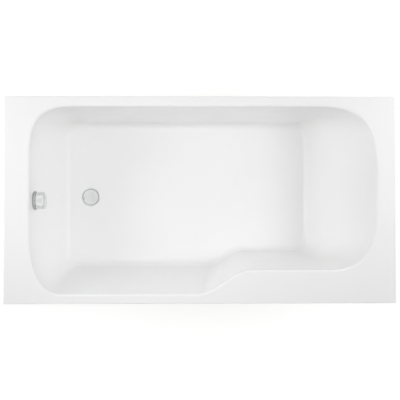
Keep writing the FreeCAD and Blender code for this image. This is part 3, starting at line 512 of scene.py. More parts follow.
class Sheet:
    """The points and faces of one mesh, collected row by row."""

    def __init__(self):
        self.points = []
        self.faces = []

    def row(self, points):
        start = len(self.points)
        self.points.extend(tuple(float(c) for c in point) for point in points)
        return list(range(start, len(self.points)))

    def ring(self, points, z):
        return self.row([(x, y, z) for x, y in points])

    def join(self, first, second, skip=()):
        """Faces between two closed rows, except at the places in skip."""
        for k in range(len(first)):
            if k not in skip:
                after = (k + 1) % len(first)
                corners = dict.fromkeys((first[k], first[after], second[after], second[k]))
                if len(corners) > 2:
                    self.faces.append(tuple(corners))

    def chain(self, rows):
        """Faces between each row and the next."""
        for first, second in zip(rows, rows[1:]):
            self.join(first, second)

    def plate(self, border, *holes):
        """Fills the flat face inside a row, round the rows of its holes."""
        loops = [border, *holes]
        corners = [k for loop in loops for k in loop]
        triangles = tessellate_polygon([[Vector(self.points[k]) for k in loop] for loop in loops])
        self.faces.extend(tuple(corners[k] for k in triangle) for triangle in triangles)

    def circle(self, spot, directions, radius):
        """A row round a spot, or only the spot, as many times, where the radius is 0."""
        if radius == 0:
            return self.row([spot]) * len(directions)
        return self.row([spot + spoke * radius for spoke in directions])

    def turn(self, profile, base, direction, steps=turn_steps, closed=False, lugs=None):
        """Revolves (radius, along) points. Lugs: their count and depth, and the least radius with them."""
        directions = fan(*square_to(direction), steps)
        lug_count, lug_depth, least = lugs or (0, 0, math.inf)
        waves = [math.cos(lug_count * (2 * math.pi * step / steps)) for step in range(steps)]
        dents = [lug_depth * (0.5 - 0.5 * wave) ** lug_sharpness for wave in waves]
        rows = []
        for radius, along in profile:
            spot = base + direction * along
            if radius > least:
                spokes = zip(directions, dents)
                rows.append(self.row([spot + spoke * (radius - dent) for spoke, dent in spokes]))
            else:
                rows.append(self.circle(spot, directions, radius))
        if closed:
            rows.append(rows[0])
        self.chain(rows)
        return rows

    def prism(self, section, base, across, up, along):
        """Extrudes a closed section of (across, up) points by the vector along."""
        near = [base + across * x + up * y for x, y in section]
        first = self.row(near)
        last = self.row([point + along for point in near])
        self.join(first, last)
        self.plate(first)
        self.plate(last)

    def mesh(self, name):
        """A mesh of the sheet, its faces turned outwards."""
        mesh = bpy.data.meshes.new(name)
        mesh.from_pydata(self.points, [], self.faces)
        bm = bmesh.new()
        bm.from_mesh(mesh)
        bmesh.ops.recalc_face_normals(bm, faces=bm.faces)
        bm.to_mesh(mesh)
        bm.free()
        return mesh

    def piece(self, name, body, slot, *nodes, look=None):
        """The finished mesh as a piece that rides on a body and stands for CAD nodes."""
        mesh = self.mesh(name)
        mesh.polygons.foreach_set("use_smooth", [True] * len(mesh.polygons))
        mesh.set_sharp_from_angle(angle=sharp_angle)
        mesh.materials.append(materials[look or slot])
        obj = set_out(name, mesh)
        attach(obj, body)
        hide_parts(*nodes)
        return obj


def set_out(name, data):
    """A new object of the scene."""
    obj = bpy.data.objects.new(name, data)
    bpy.context.scene.collection.objects.link(obj)
    return obj


def smooth_share(share):
    return share * share * (3 - 2 * share)


seat_x = left_wall_x(overflow_depth - seat_radius)
overflow_z = rim_height - overflow_depth
overflow_start = long_steps + corner_steps * 3 + end_steps + narrow_steps + step_steps + wide_steps


def floor_z(x, grow, slope):
    return rim_height - basin_depth - grow + slope * (x - floor_left)


def shell_surface(sheet, grow, level_floor, lip_bottom):
    """One face of the shell, from the lip's edge to both holes. Gives its rows at the three edges."""
    deck = rim_height - grow
    edge = max(rim_edge_radius - grow, least_round)
    lip = outer_outline(grow)
    rows = [sheet.ring(lip, z) for z in np.linspace(lip_bottom, deck - edge, lip_steps)]
    lip_row = rows[0]
    for sine, cosine in quarter(smooth_steps, 1):
        rows.append(sheet.ring(outer_outline(grow + edge * (1 - cosine)), deck - edge * (1 - sine)))
    rows.append(sheet.ring(outer_outline(grow + edge + support), deck))
    roll = max(rim_roll - grow, least_roll)
    rows.append(sheet.ring(outline(0, grow + roll + support), deck))
    for sine, cosine in quarter(roll_steps):
        depth = grow + roll * (1 - cosine)
        rows.append(sheet.ring(outline(depth, grow + roll * (1 - sine)), rim_height - depth))
    sheet.chain(rows)

    def basin_points(depth, offset):
        ring = outline(depth, offset)
        slope = 0 if level_floor else floor_slope * max(0, 2 * min(depth / basin_depth, 1) - 1)
        return np.column_stack((ring, rim_height - depth + slope * (ring[:, 0] - floor_left)))

    start = grow + roll
    depths = [blend(wall_top, wall_end, k / wall_steps) for k in range(wall_steps + 1)]
    depths = [depth for depth in depths if depth > start]
    walls = [rows[-1]] + [sheet.row(basin_points(depth, grow)) for depth in depths]
    depths = [start] + depths
    patch_top, patch_bottom = overflow_depth - seat_patch_reach, overflow_depth + seat_patch_reach
    first_row = next(k for k, depth in enumerate(depths) if depth > patch_top)
    last_row = max(k for k, depth in enumerate(depths) if depth < patch_bottom)
    ys = [sheet.points[walls[first_row][overflow_start + k]][1] for k in range(overflow_steps)]
    columns = [k for k, y in enumerate(ys) if abs(y - overflow_y) < seat_patch_reach]
    left_column, right_column = overflow_start + columns[0], overflow_start + columns[-1]
    hole = range(left_column, right_column)
    for k, (above, below) in enumerate(zip(walls, walls[1:])):
        sheet.join(above, below, skip=hole if first_row <= k < last_row else ())
    border = [walls[first_row][k] for k in range(left_column, right_column)]
    border += [walls[k][right_column] for k in range(first_row, last_row)]
    border += [walls[last_row][k] for k in range(right_column, left_column, -1)]
    border += [walls[k][left_column] for k in range(last_row, first_row, -1)]
    seat_edge = overflow_seat(sheet, border, grow)

    def fillet_points(radius, sine, cosine):
        reach = radius + grow
        return basin_points(basin_depth - radius + reach * sine, grow - reach * (1 - cosine))

    rows = [walls[-1]]
    for angle in quarter(fillet_steps, 1):
        wide, tight = fillet_points(floor_radius, *angle), fillet_points(end_radius, *angle)
        rows.append(sheet.row(blend(wide, tight, end_share())))
    sheet.chain(rows)
    slope = 0 if level_floor else floor_slope
    drain_edge = floor_fill(sheet, rows[-1], grow, slope)
    return lip_row, seat_edge, drain_edge


def overflow_seat(sheet, border, grow):
    """The flat round seat moulded in the end wall, from the border of its patch to its hole."""
    places = [sheet.points[k] for k in border]
    angles = [math.atan2(z - overflow_z, y - overflow_y) for _, y, z in places]

    def ring(radius, flat, drop=0):
        points = []
        for angle in angles:
            y = overflow_y + radius * math.cos(angle)
            z = overflow_z + radius * math.sin(angle)
            wall = left_wall_x(rim_height - z) - grow
            points.append((blend(wall, seat_x - grow, flat) - drop, y, z))
        return sheet.row(points)

    outer = seat_radius + seat_edge_out + grow
    inner = seat_radius - seat_edge_in + grow
    rows = [border, ring(outer + seat_edge_out, 0)]
    for step in range(smooth_steps + 1):
        share = step / smooth_steps
        rows.append(ring(blend(outer, inner, share), smooth_share(share)))
    rows.append(ring(inner - support, 1))
    rows.append(ring(seat_hole_radius + seat_hole_edge + support, 1))
    rows.append(ring(seat_hole_radius + seat_hole_edge, 1))
    rows.append(ring(seat_hole_radius, 1, 0 if grow else seat_hole_edge))
    sheet.chain(rows)
    return rows[-1]


def floor_fill(sheet, border, grow, slope):
    """The floor from its border to the waste's recess and hole."""
    base = np.array([sheet.points[k][:2] for k in border])
    middle = np.array((drain.x, drain.y))
    away = base - middle
    unit = away / np.linalg.norm(away, axis=1)[:, None]

    def ring(points, drop):
        return sheet.row([(x, y, floor_z(x, grow, slope) - drop) for x, y in points])

    def circle(radius, drop):
        return ring(middle + unit * radius, drop)

    mouth = drain_recess_radius + drain_recess_flare
    rim = middle + unit * (mouth + floor_margin)
    rows = [border]
    for step in range(1, floor_steps + 1):
        rows.append(ring(blend(base, rim, smooth_share(step / floor_steps) ** floor_spacing), 0))
    if grow == 0:
        for step in range(smooth_steps + 1):
            share = step / smooth_steps
            radius = blend(mouth + drain_recess_ease, drain_recess_radius - drain_recess_ease, share)
            rows.append(circle(radius, drain_recess_depth * smooth_share(share)))
        rows.append(circle(drain_hole_radius + support, drain_recess_depth))
        rows.append(circle(drain_hole_radius, drain_recess_depth + drain_hole_edge))
    else:
        rows.append(circle(drain_hole_radius, 0))
    sheet.chain(rows)
    return rows[-1]


def shell_piece(name, look, outer_grow, inner_grow, level_floor, lip_bottom):
    """A closed layer of the shell between two of its faces."""
    sheet, inner_sheet = Sheet(), Sheet()
    outer = shell_surface(sheet, outer_grow, False, lip_bottom)
    start = len(sheet.points)
    inner = shell_surface(inner_sheet, inner_grow, level_floor, lip_bottom)
    sheet.points.extend(inner_sheet.points)
    sheet.faces.extend(tuple(k + start for k in face) for face in inner_sheet.faces)
    for edge, other in zip(outer, inner):
        sheet.join(edge, [k + start for k in other])
    sheet.piece(name, "tub", "acrylic", "tub_shell", look=look)


def build_tub():
    lip_bottom = rim_height - lip_drop
    shell_piece("tub_acrylic", "acrylic", 0, sheet_wall, False, lip_bottom)
    backing_start = sheet_wall + layer_gap
    shell_piece("tub_backing", "glass_fibre", backing_start, shell_wall, True, lip_bottom + backing_lip_gap)


INWARD = Vector((1, 0, 0))
BACKWARD = Vector((0, 1, 0))
UP = Vector((0, 0, 1))
DOWN = Vector((0, 0, -1))


def low(node):
    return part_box(node)[0]


def high(node):
    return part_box(node)[1]


def at_overflow(x):
    """The point at x on the overflow's axis."""
    return Vector((x, overflow_y, overflow_z))


def at_drain(z):
    """The point at height z on the waste's axis."""
    return Vector((drain.x, drain.y, z))


def carve(obj, cutters):
    """Cuts closed sheets out of a piece."""
    for cutter in cutters:
        mesh = cutter.mesh("cutter")
        tool = set_out("cutter", mesh)
        modifier = obj.modifiers.new("cut", "BOOLEAN")
        modifier.operation = "DIFFERENCE"
        modifier.solver = "EXACT"
        modifier.object = tool
        bpy.context.view_layer.update()
        graph = bpy.context.evaluated_depsgraph_get()
        result = bpy.data.meshes.new_from_object(obj.evaluated_get(graph))
        obj.modifiers.clear()
        old = obj.data
        obj.data = result
        bpy.data.meshes.remove(old)
        bpy.data.objects.remove(tool)
        bpy.data.meshes.remove(mesh)
    obj.data.set_sharp_from_angle(angle=sharp_angle)


def round_cutter(radius, base, direction):
    """A short bar that cuts a round hole."""
    sheet = Sheet()
    length = direction.length
    bar = [(0, 0), (radius, 0), (radius, length), (0, length)]
    sheet.turn(bar, base, direction.normalized(), small_steps)
    return sheet


def build_knob():
    """A deep cup with a hub, its front edge well rounded outside and inside."""
    back = low("overflow_knob").x
    floor = knob_depth - knob_front
    hub_start = floor - knob_hub_length
    corners = [
        (0, floor, 0), (spindle_bore, floor, 0), (spindle_bore, hub_start, hair_edge),
        (knob_hub_radius, hub_start, plain_edge), (knob_hub_radius, floor, round_edge),
        (knob_radius - knob_wall, floor, knob_round - knob_wall),
        (knob_radius - knob_wall, 0, plain_edge), (knob_radius, 0, knob_back_round),
        (knob_radius, knob_depth, knob_round), (0, knob_depth, 0),
    ]
    sheet = Sheet()
    sheet.turn(rounded(corners), at_overflow(back), INWARD)
    knob = sheet.piece("knob_cup", "knob", "chrome", "overflow_knob")
    grub = at_overflow(back + hub_start + knob_hub_length / 2)
    carve(knob, [round_cutter(grub_radius, grub, DOWN * 2 * knob_radius)])


def build_rosette():
    """A windowed plate, a skirt with slots below, a collar and a hub."""
    back = high("overflow_rosette").x - ring_depth
    inner = ring_radius - ring_wall
    hub_end = ring_plate + ring_hub_length / 2
    corners = [
        (collar_bore, -collar_length, fine_edge), (collar_radius, -collar_length, fine_edge),
        (collar_radius, 0, hair_edge), (ring_radius, 0, plain_edge),
        (ring_radius, ring_depth, soft_edge), (inner, ring_depth, soft_edge),
        (inner, ring_plate, round_edge), (ring_hub_radius, ring_plate, round_edge),
        (ring_hub_radius, hub_end, fine_edge), (spindle_bore, hub_end, fine_edge),
        (spindle_bore, hub_end - ring_hub_length, fine_edge),
        (ring_hub_radius, hub_end - ring_hub_length, fine_edge),
        (ring_hub_radius, 0, round_edge), (collar_bore, 0, round_edge),
    ]
    sheet = Sheet()
    sheet.turn(rounded(corners, True), at_overflow(back), INWARD, closed=True)
    # The ring takes satin chrome, darker than the knob's chrome: its darker tone is painted shade for the
    # dark crescent round the knob
    rosette = sheet.piece("overflow_ring", "tub", "chrome", "overflow_rosette", look="satin_chrome_painted_shade")
    cutters = []
    through = INWARD * 3 * ring_plate
    for window in range(ring_window_count):
        angle = math.pi * (2 * window + 1) / ring_window_count
        spoke = Vector((0, math.cos(angle), math.sin(angle))) * ring_window_place
        cutters.append(round_cutter(ring_window_radius, at_overflow(back - ring_plate) + spoke, through))
    for side in (-1, 1):
        spot = at_overflow(back - ring_plate) + BACKWARD * side * screw_place
        cutters.append(round_cutter(screw_radius, spot, through))
    for side in (-1, 0, 1):
        angle = math.radians(side * ring_slot_spread)
        down = Vector((0, math.sin(angle), -math.cos(angle)))
        across = down.cross(INWARD)
        centre = at_overflow(back + (ring_plate + ring_depth) / 2) + down * (ring_radius - ring_slot.z / 2)
        x, y = ring_slot.x / 2, ring_slot.y / 2
        section = [(-x, x - y), (-x, y - x), (0, y), (x, y - x), (x, x - y), (0, -y)]
        slot = Sheet()
        slot.prism(section, centre, INWARD, across, down * ring_slot.z)
        cutters.append(slot)
    carve(rosette, cutters)


def cross_outline(half, reach):
    """The twelve corners of a screwdriver's cross."""
    arm = [(reach, -half), (reach, half), (half, half)]
    points = []
    for _ in range(4):
        points += arm
        arm = [(-y, x) for x, y in arm]
    return points


def screw(sheet, seat, direction, radius, head_radius, length):
    """A pan-head screw with a cross, its head on the seat and towards direction."""
    corners = [
        (0, -length, 0), (radius, screw_point_share * radius - length, screw_neck_share * radius),
        (radius, 0, 0), (head_radius, 0, head_edge_share * head_radius),
        (head_radius, screw_head_height, head_round_share * head_radius),
        (head_face_share * head_radius, screw_head_height, 0),
    ]
    rows = sheet.turn(rounded(corners), seat, direction, small_steps)
    side, up = square_to(direction)
    crosses = []
    for share, depth in ((1, 0), (cross_taper, cross_depth_share * screw_head_height)):
        spot = seat + direction * (screw_head_height - depth)
        cross = cross_outline(*(size * head_radius * share for size in cross_shares))
        crosses.append(sheet.row([spot + side * x + up * y for x, y in cross]))
    sheet.plate(rows[-1], crosses[0])
    sheet.chain(crosses)
    sheet.plate(crosses[1])


def build_overflow():
    build_knob()
    build_rosette()
    face = high("overflow_rosette").x - ring_depth + ring_plate
    length = face - low("overflow_screws").x
    sheet = Sheet()
    for side in (-1, 1):
        seat = at_overflow(face) + BACKWARD * side * screw_place
        screw(sheet, seat, INWARD, overflow_screw_radius, overflow_screw_head_radius, length)
    sheet.piece("overflow_screw_pair", "tub", "steel", "overflow_screws")


def build_waste():
    """The flange in the floor with its sleeve and spider, and the plug's cap."""
    base = at_drain(high("waste_flange").z - flange_lip)
    corners = [
        (sleeve_radius, -sleeve_length, fine_edge), (sleeve_radius, 0, fine_edge),
        (flange_radius, 0, hair_edge), (flange_radius, flange_lip, flange_round),
        (flange_seat_radius, flange_lip, plain_edge),
        (flange_seat_radius, flange_seat_height, fine_edge),
        (sleeve_bore, flange_seat_height, eased_edge), (sleeve_bore, -sleeve_length, fine_edge),
    ]
    sheet = Sheet()
    sheet.turn(rounded(corners, True), base, UP, closed=True)
    hub_low = low("waste_flange").z
    hub = [
        (hub_bore, 0, crisp_edge), (hub_radius, 0, eased_edge), (hub_radius, hub_length, eased_edge),
        (hub_bore, hub_length, crisp_edge),
    ]
    sheet.turn(rounded(hub, True), at_drain(hub_low), UP, small_steps, closed=True)
    half, thick = spider_width / 2, spider_thickness
    section = ((-half, 0), (half, 0), (half, thick), (-half, thick))
    arm = rounded([(x, y, round_edge) for x, y in section], True)
    length = sleeve_bore + spider_overlap + spider_sink - hub_radius
    for along in fan(INWARD, BACKWARD, spider_arms):
        start = base - UP * (sleeve_length + thick / 2) + along * (hub_radius - spider_overlap)
        sheet.prism([(x, y - thick / 2) for x, y in arm], start, along.cross(UP), UP, along * length)
    # Satin chrome, darker than the plug's chrome: its darker tone is painted shade for the gap round the
    # flange's edge
    sheet.piece("waste_ring", "tub", "chrome", "waste_flange", look="satin_chrome_painted_shade")

    under = low("plug_cap").z
    profile = rounded([
        (0, plug_hollow, 0), (plug_radius - plug_hollow_inset, plug_hollow, fine_edge),
        (plug_radius - plug_foot, 0, hair_edge), (plug_radius, 0, crisp_edge),
        (plug_radius, plug_edge, soft_edge),
        (plug_radius * plug_dome_share, plug_edge + plug_dome * plug_rim_share, 0),
    ])
    for step in range(1, dome_steps + 1):
        share = plug_dome_share * (1 - step / dome_steps)
        profile.append((plug_radius * share, plug_edge + plug_dome * (1 - share ** 2)))
    sheet = Sheet()
    sheet.turn(profile, at_drain(under), UP)
    sheet.piece("plug_dome", "plug", "chrome", "plug_cap")


def spline_line(route):
    """Points along the smooth line that a route of control points gives."""
    data = bpy.data.curves.new("line", "CURVE")
    data.dimensions = "3D"
    data.resolution_u = line_steps
    spline = data.splines.new("NURBS")
    spline.points.add(len(route) - 1)
    for point, place in zip(spline.points, route):
        point.co = (place[0] * MM, place[1] * MM, place[2] * MM, 1)
    spline.order_u = 3
    spline.use_endpoint_u = True
    obj = bpy.data.objects.new("line", data)
    mesh = bpy.data.meshes.new_from_object(obj)
    points = [vertex.co.copy() for vertex in mesh.vertices]
    bpy.data.objects.remove(obj)
    bpy.data.curves.remove(data)
    bpy.data.meshes.remove(mesh)
    return points


def line_length(line):
    return sum((b - a).length for a, b in zip(line, line[1:]))


def tube(sheet, line, profile, closed=False):
    """A tube of small_steps sides along a line, whose profile has (distance, radius) points."""
    travel = [0]
    for a, b in zip(line, line[1:]):
        travel.append(travel[-1] + (b - a).length)
    directions = [(b - a).normalized() for a, b in zip(line, line[1:])]
    sides = [square_to(directions[0])[0]]
    for direction in directions[1:]:
        sides.append((sides[-1] - direction * sides[-1].dot(direction)).normalized())
    rows = []
    for distance, radius in profile:
        k = min(max(int(np.searchsorted(travel, distance, "right")) - 1, 0), len(directions) - 1)
        spot = line[k] + directions[k] * (distance - travel[k])
        around = fan(sides[k], directions[k].cross(sides[k]), small_steps)
        rows.append(sheet.circle(spot, around, radius))
    if closed:
        rows.append(rows[0])
    sheet.chain(rows)


def build_hose():
    """The corrugated hose with plain ends and its bore."""
    line = spline_line(hose_route)
    total = line_length(line)
    plain_end = hose_plain_share * hose_radius
    count = round((total - 2 * plain_end) / hose_rib_pitch)
    pitch = (total - 2 * plain_end) / count
    profile = [(0, hose_groove_radius)]
    for step in range(count * rib_steps + 1):
        swell = 0.5 - 0.5 * math.cos(2 * math.pi * step / rib_steps)
        radius = blend(hose_groove_radius, hose_radius, swell ** rib_fullness)
        profile.append((plain_end + pitch * step / rib_steps, radius))
    profile.append((total, hose_groove_radius))
    bore = [(total * (1 - step / line_steps), hose_bore_radius) for step in range(line_steps + 1)]
    sheet = Sheet()
    tube(sheet, line, profile + bore, closed=True)
    sheet.piece("hose_corrugated", "tub", "grey_plastic", "overflow_hose")


def build_cable():
    """The control cable's sleeve."""
    line = spline_line(cable_route)
    total = line_length(line)
    count = cable_rings
    profile = [(0, 0)] + [(total * step / count, cable_radius) for step in range(count + 1)] + [(total, 0)]
    sheet = Sheet()
    tube(sheet, line, profile)
    sheet.piece("cable_tube", "tub", "cable_plastic", "cable_sleeve")


def coupling(name, slot, node, base, direction, length, nut):
    """A coupling nut with grip lugs, and a lip of a smaller bore at its base."""
    outer, bore, lip, lip_bore, lug_count = nut
    corners = [
        (lip_bore, 0, crisp_edge), (outer, 0, round_edge), (outer, length, round_edge),
        (bore, length, fine_edge),
    ]
    if lip_bore < bore:
        corners += [(bore, lip, 0), (lip_bore, lip, crisp_edge)]
    lugs = (lug_count, (outer - bore) * lug_depth_share, outer - lug_inset)
    sheet = Sheet()
    sheet.turn(rounded(corners, True), base, direction, closed=True, lugs=lugs)
    sheet.piece(name, "tub", slot, node)


def build_pipes():
    """Hose, cable and the coupling nuts of hose, trap and outlet."""
    build_hose()
    build_cable()
    grey, white = "grey_plastic", "white_plastic"
    length = hose_nut_length
    top = Vector((hose_route[0][0] * MM, overflow_y, high("hose_nut_top").z))
    coupling("hose_coupling_top", grey, "hose_nut_top", top, DOWN, length, hose_nut)
    end = Vector(hose_route[-1]) * MM
    heading = (end - Vector(hose_route[-3]) * MM).normalized()
    base = end + heading * (length + hose_nut[2]) / 2
    coupling("hose_coupling_bottom", grey, "hose_nut_bottom", base, -heading, length, hose_nut)
    base = at_drain(high("trap_nut").z)
    coupling("trap_coupling", white, "trap_nut", base, DOWN, base.z - low("trap_nut").z, trap_nut)
    start, stop = low("outlet_nut"), high("outlet_nut")
    base = Vector((drain.x, start.y, (start.z + stop.z) / 2))
    coupling("outlet_coupling", white, "outlet_nut", base, BACKWARD, stop.y - base.y, outlet_nut)


def hex_nut(sheet, base):
    """A hexagon nut whose corners are turned off at both faces."""
    flat = nut_radius * math.cos(math.pi / 6)
    face = flat * nut_face_share
    directions = fan(INWARD, BACKWARD, nut_steps)
    angles = [2 * math.pi * step / nut_steps for step in range(nut_steps)]
    reaches = [flat / math.cos(angle % (math.pi / 3) - math.pi / 6) for angle in angles]
    drops = [max(0, reach - face) * math.tan(math.pi / 6) for reach in reaches]

    def rim(heights):
        places = zip(directions, reaches, heights)
        return sheet.row([base + spoke * reach + UP * height for spoke, reach, height in places])

    lower = [(nut_bore, nut_chamfer), (nut_bore + nut_chamfer, 0), (face, 0)]
    upper = [(radius, nut_height - height) for radius, height in reversed(lower)]
    rows = [sheet.circle(base + UP * height, directions, radius) for radius, height in lower]
    rows += [rim(drops), rim([nut_height - drop for drop in drops])]
    rows += [sheet.circle(base + UP * height, directions, radius) for radius, height in upper]
    sheet.chain([*rows, rows[0]])


def threaded_rod(sheet, base, length):
    """A rod with chamfered ends and one thread that winds up it."""
    core = rod_radius - thread_depth
    flat = core - rod_chamfer
    ends = [(core, rod_chamfer), (core, length - rod_chamfer)]
    sheet.turn([(0, 0), (flat, 0), *ends, (flat, length), (0, length)], base, UP, small_steps)
    turns = (length - thread_free_turns * thread_pitch) / thread_pitch
    count = int(turns * thread_steps)
    rows = []
    for step in range(count + 1):
        angle = 2 * math.pi * step / thread_steps
        spoke = Vector((math.cos(angle), math.sin(angle), 0))
        height = thread_pitch * (1 + step / thread_steps)
        fade = min(1, step / thread_steps, (count - step) / thread_steps)
        foot = base + spoke * (core - thread_depth * thread_sink_share) + UP * height
        crest = base + spoke * (core + thread_depth * fade) + UP * height
        wide, narrow = UP * thread_pitch * thread_foot_share, UP * thread_pitch * thread_crest_share
        rows.append(sheet.row([foot - wide, crest - narrow, crest + narrow, foot + wide]))
    sheet.chain(rows)
    sheet.plate(rows[0])
    sheet.plate(rows[-1])


def foot_pad(sheet, base):
    """A disc that stands on its edge, and a ribbed neck with the rod's socket."""
    corners = [
        (0, pad_hollow, 0), (pad_base_radius - pad_hollow_inset, pad_hollow, plain_edge),
        (pad_base_radius - pad_foot_inset, 0, fine_edge),
        (pad_base_radius - eased_edge, 0, eased_edge), (pad_base_radius, pad_edge_height, round_edge),
        (pad_base_radius, pad_base_height - pad_shoulder_drop, pad_shoulder_drop),
        (pad_base_radius - pad_shoulder_inset, pad_base_height, pad_shoulder_round),
        (pad_neck_radius, pad_base_height, pad_neck_fillet),
        (pad_neck_radius, pad_height, round_edge), (rod_radius, pad_height, fine_edge),
        (rod_radius, pad_height - pad_socket, 0), (0, pad_height - pad_socket, 0),
    ]
    sheet.turn(rounded(corners), base, UP, pad_steps)
    root, bottom = pad_neck_radius - pad_rib_sink, pad_base_height - pad_rib_sink
    rib = [
        (root, bottom), (pad_rib_reach, bottom), (pad_rib_reach, pad_base_height + pad_rib_toe),
        (pad_neck_radius + pad_rib_top_reach, pad_height - pad_rib_top_drop),
        (root, pad_height - pad_rib_root_drop),
    ]
    for along in fan(INWARD, BACKWARD, pad_rib_count):
        width = along.cross(UP) * pad_rib_width
        sheet.prism(rib, base - width / 2, along, UP, width)


def build_feet():
    """Rods, pads, nuts and the screws that hold the bars."""
    weld, lock, screws = Sheet(), Sheet(), Sheet()
    for index in range(1, 6):
        body = "foot_%d" % index
        rod, pad = "foot_rod_%d" % index, "foot_pad_%d" % index
        centre = (low(rod) + high(rod)) / 2
        for sheet, node in ((weld, "weld_nuts"), (lock, "lock_nuts")):
            hex_nut(sheet, Vector((centre.x, centre.y, low(node).z)))
        sheet = Sheet()
        threaded_rod(sheet, Vector((centre.x, centre.y, low(rod).z)), high(rod).z - low(rod).z)
        sheet.piece("foot_thread_%d" % index, body, "steel", rod)
        sheet = Sheet()
        foot_pad(sheet, Vector((centre.x, centre.y, low(pad).z)))
        sheet.piece("foot_disc_%d" % index, body, "pad_plastic", pad)
    weld.piece("nuts_in_bars", "tub", "steel", "weld_nuts")
    lock.piece("nuts_under_bars", "tub", "steel", "lock_nuts")
    head_under = low("bar_screws").z + screw_head_height
    length = high("bar_screws").z - head_under
    for x, y in screw_spots():
        screw(screws, Vector((x, y, head_under)), DOWN, screw_radius, screw_head_radius, length)
    screws.piece("screws_in_board", "tub", "steel", "bar_screws")


def screw_spots():
    """Where the screws pass through the flanges of both bars and of the centre bracket."""
    back = floor_back - bar_screw_inset
    middle = (low("centre_bracket").y + high("centre_bracket").y) / 2
    bars = {
        "cross_bar_left": (floor_front + bar_screw_inset, back),
        "cross_bar_right": (floor_narrow + bar_screw_inset, back),
        "centre_bracket": (middle - centre_screw_reach, middle + centre_screw_reach),
    }
    spots = []
    for node, ends in bars.items():
        for x in (low(node).x + bar_flange / 2, high(node).x - bar_flange / 2):
            spots += [(x, y) for y in ends]
    return spots


class Nodes:
    """Short calls that add nodes to a tree. An input is a value or another node's output."""

    def __init__(self, tree):
        self.tree = tree

    def put(self, value, socket):
        if isinstance(value, bpy.types.NodeSocket):
            self.tree.links.new(value, socket)
        else:
            socket.default_value = value

    def add(self, kind, inputs):
        node = self.tree.nodes.new("ShaderNode" + kind)
        for key, value in inputs.items():
            self.put(value, node.inputs[key])
        return node

    def output(self, kind, name):
        """An output of a node that has no inputs."""
        return self.add(kind, {}).outputs[name]

    def math(self, operation, first, second):
        """A sum, product or the like of two inputs."""
        node = self.add("Math", {0: first, 1: second})
        node.operation = operation
        return node.outputs[0]

    def spread(self, source, first, last, start=0.3, end=0.7):
        """Maps a source from start..end to first..last."""
        inputs = {"Value": source, "From Min": start, "From Max": end, "To Min": first, "To Max": last}
        return self.add("MapRange", inputs).outputs["Result"]

    def seen(self):
        """1 for rays from the camera, from glossy surfaces and through glass, otherwise 0."""
        rays = self.add("LightPath", {}).outputs
        seen = self.math("MAXIMUM", rays["Is Camera Ray"], rays["Is Glossy Ray"])
        return self.math("MAXIMUM", seen, rays["Is Transmission Ray"])


class Shader(Nodes):
    """One material and short calls that dress its surface."""

    def __init__(self, name, metallic=0):
        self.material = bpy.data.materials.new(name)
        self.material.use_nodes = True
        super().__init__(self.material.node_tree)
        self.sockets = self.tree.nodes["Principled BSDF"].inputs
        self.sockets["Metallic"].default_value = metallic
        self.place = self.output("TexCoord", "Object")

    def stretched(self, scale):
        return self.add("Mapping", {"Scale": scale, "Vector": self.place}).outputs["Vector"]

    def noise(self, scale, detail=2, place=None):
        inputs = {"Scale": scale, "Detail": detail, "Vector": place or self.place}
        return self.add("TexNoise", inputs).outputs["Fac"]

    def cells(self, scale, place=None):
        """A tone for each cell, and the distance from its middle."""
        cells = self.add("TexVoronoi", {"Scale": scale, "Vector": place or self.place}).outputs
        return self.add("SeparateColor", {"Color": cells["Color"]}).outputs[0], cells["Distance"]

    def strands(self, turn, patch):
        """Thin lines along one direction, broken up into patches."""
        node = self.add("Mapping", {"Rotation": turn, "Scale": strand_size, "Vector": self.place})
        node.vector_type = "TEXTURE"
        line = self.math("SUBTRACT", self.noise(1, 1, node.outputs["Vector"]), 0.5)
        thin = self.spread(self.math("MULTIPLY", line, line), 1, 0, 0, strand_thinness)
        return self.math("MULTIPLY", thin, self.spread(self.noise(patch, 1), 0, 1, *patch_span))

    def mix(self, share, first, second):
        """A colour between two, by a share."""
        node = self.add("Mix", {})
        node.data_type = "RGBA"
        for key, value in (("Factor", share), ("A", first), ("B", second)):
            self.put((*value, 1) if isinstance(value, tuple) else value, node.inputs[key])
        return node.outputs["Result"]

    def bump(self, height, depth):
        """Adds relief of a depth in metres."""
        normal = self.sockets["Normal"]
        node = self.add("Bump", {"Distance": depth, "Strength": 1, "Height": height})
        if normal.is_linked:
            self.put(normal.links[0].from_socket, node.inputs["Normal"])
        self.put(node.outputs["Normal"], normal)

    def coat(self, tone, dark, light, grain, rough):
        """A colour between two, by a tone, and a roughness between two, by a grain."""
        self.put(self.mix(tone, dark, light), self.sockets["Base Color"])
        self.put(self.spread(grain, *rough), self.sockets["Roughness"])


# Glass strands: length, width and width of one, how thin its line is, and where its patches fade
strand_size = (0.05, 0.005, 0.005)
strand_thinness = 0.0012
patch_span = (0.47, 0.6)
patch_scale = 16
patch_scale_step = 3
strand_cover = 0.8
strand_relief = 0.5 * MM
roller_relief = 1.2 * MM
strand_turns = [
    (0, 0.6, 0.7), (0, -0.8, 0.5), (0, 0.3, -0.8), (0, -0.2, 2.2), (0, 1.2, 1.2), (0, -1.3, 0.2),
    (0, 0.1, 1.5),
]


def backing():
    """Chopped glass strands that lie every way in rolled polyester resin."""
    shader = Shader("glass_fibre")
    height = shader.strands(strand_turns[0], patch_scale)
    for k, turn in enumerate(strand_turns[1:], 1):
        patches = patch_scale + patch_scale_step * k
        height = shader.math("MAXIMUM", height, shader.strands(turn, patches))
    cloud = shader.spread(shader.noise(14, 4), 0, 1)
    resin = shader.mix(cloud, (0.66, 0.64, 0.56), (0.74, 0.72, 0.65))
    strand_tone = shader.math("MULTIPLY", height, strand_cover)
    shader.coat(strand_tone, resin, (0.84, 0.83, 0.78), shader.noise(40), (0.26, 0.5))
    shader.bump(height, strand_relief)
    shader.bump(shader.noise(55, 3), roller_relief)
    return shader.material


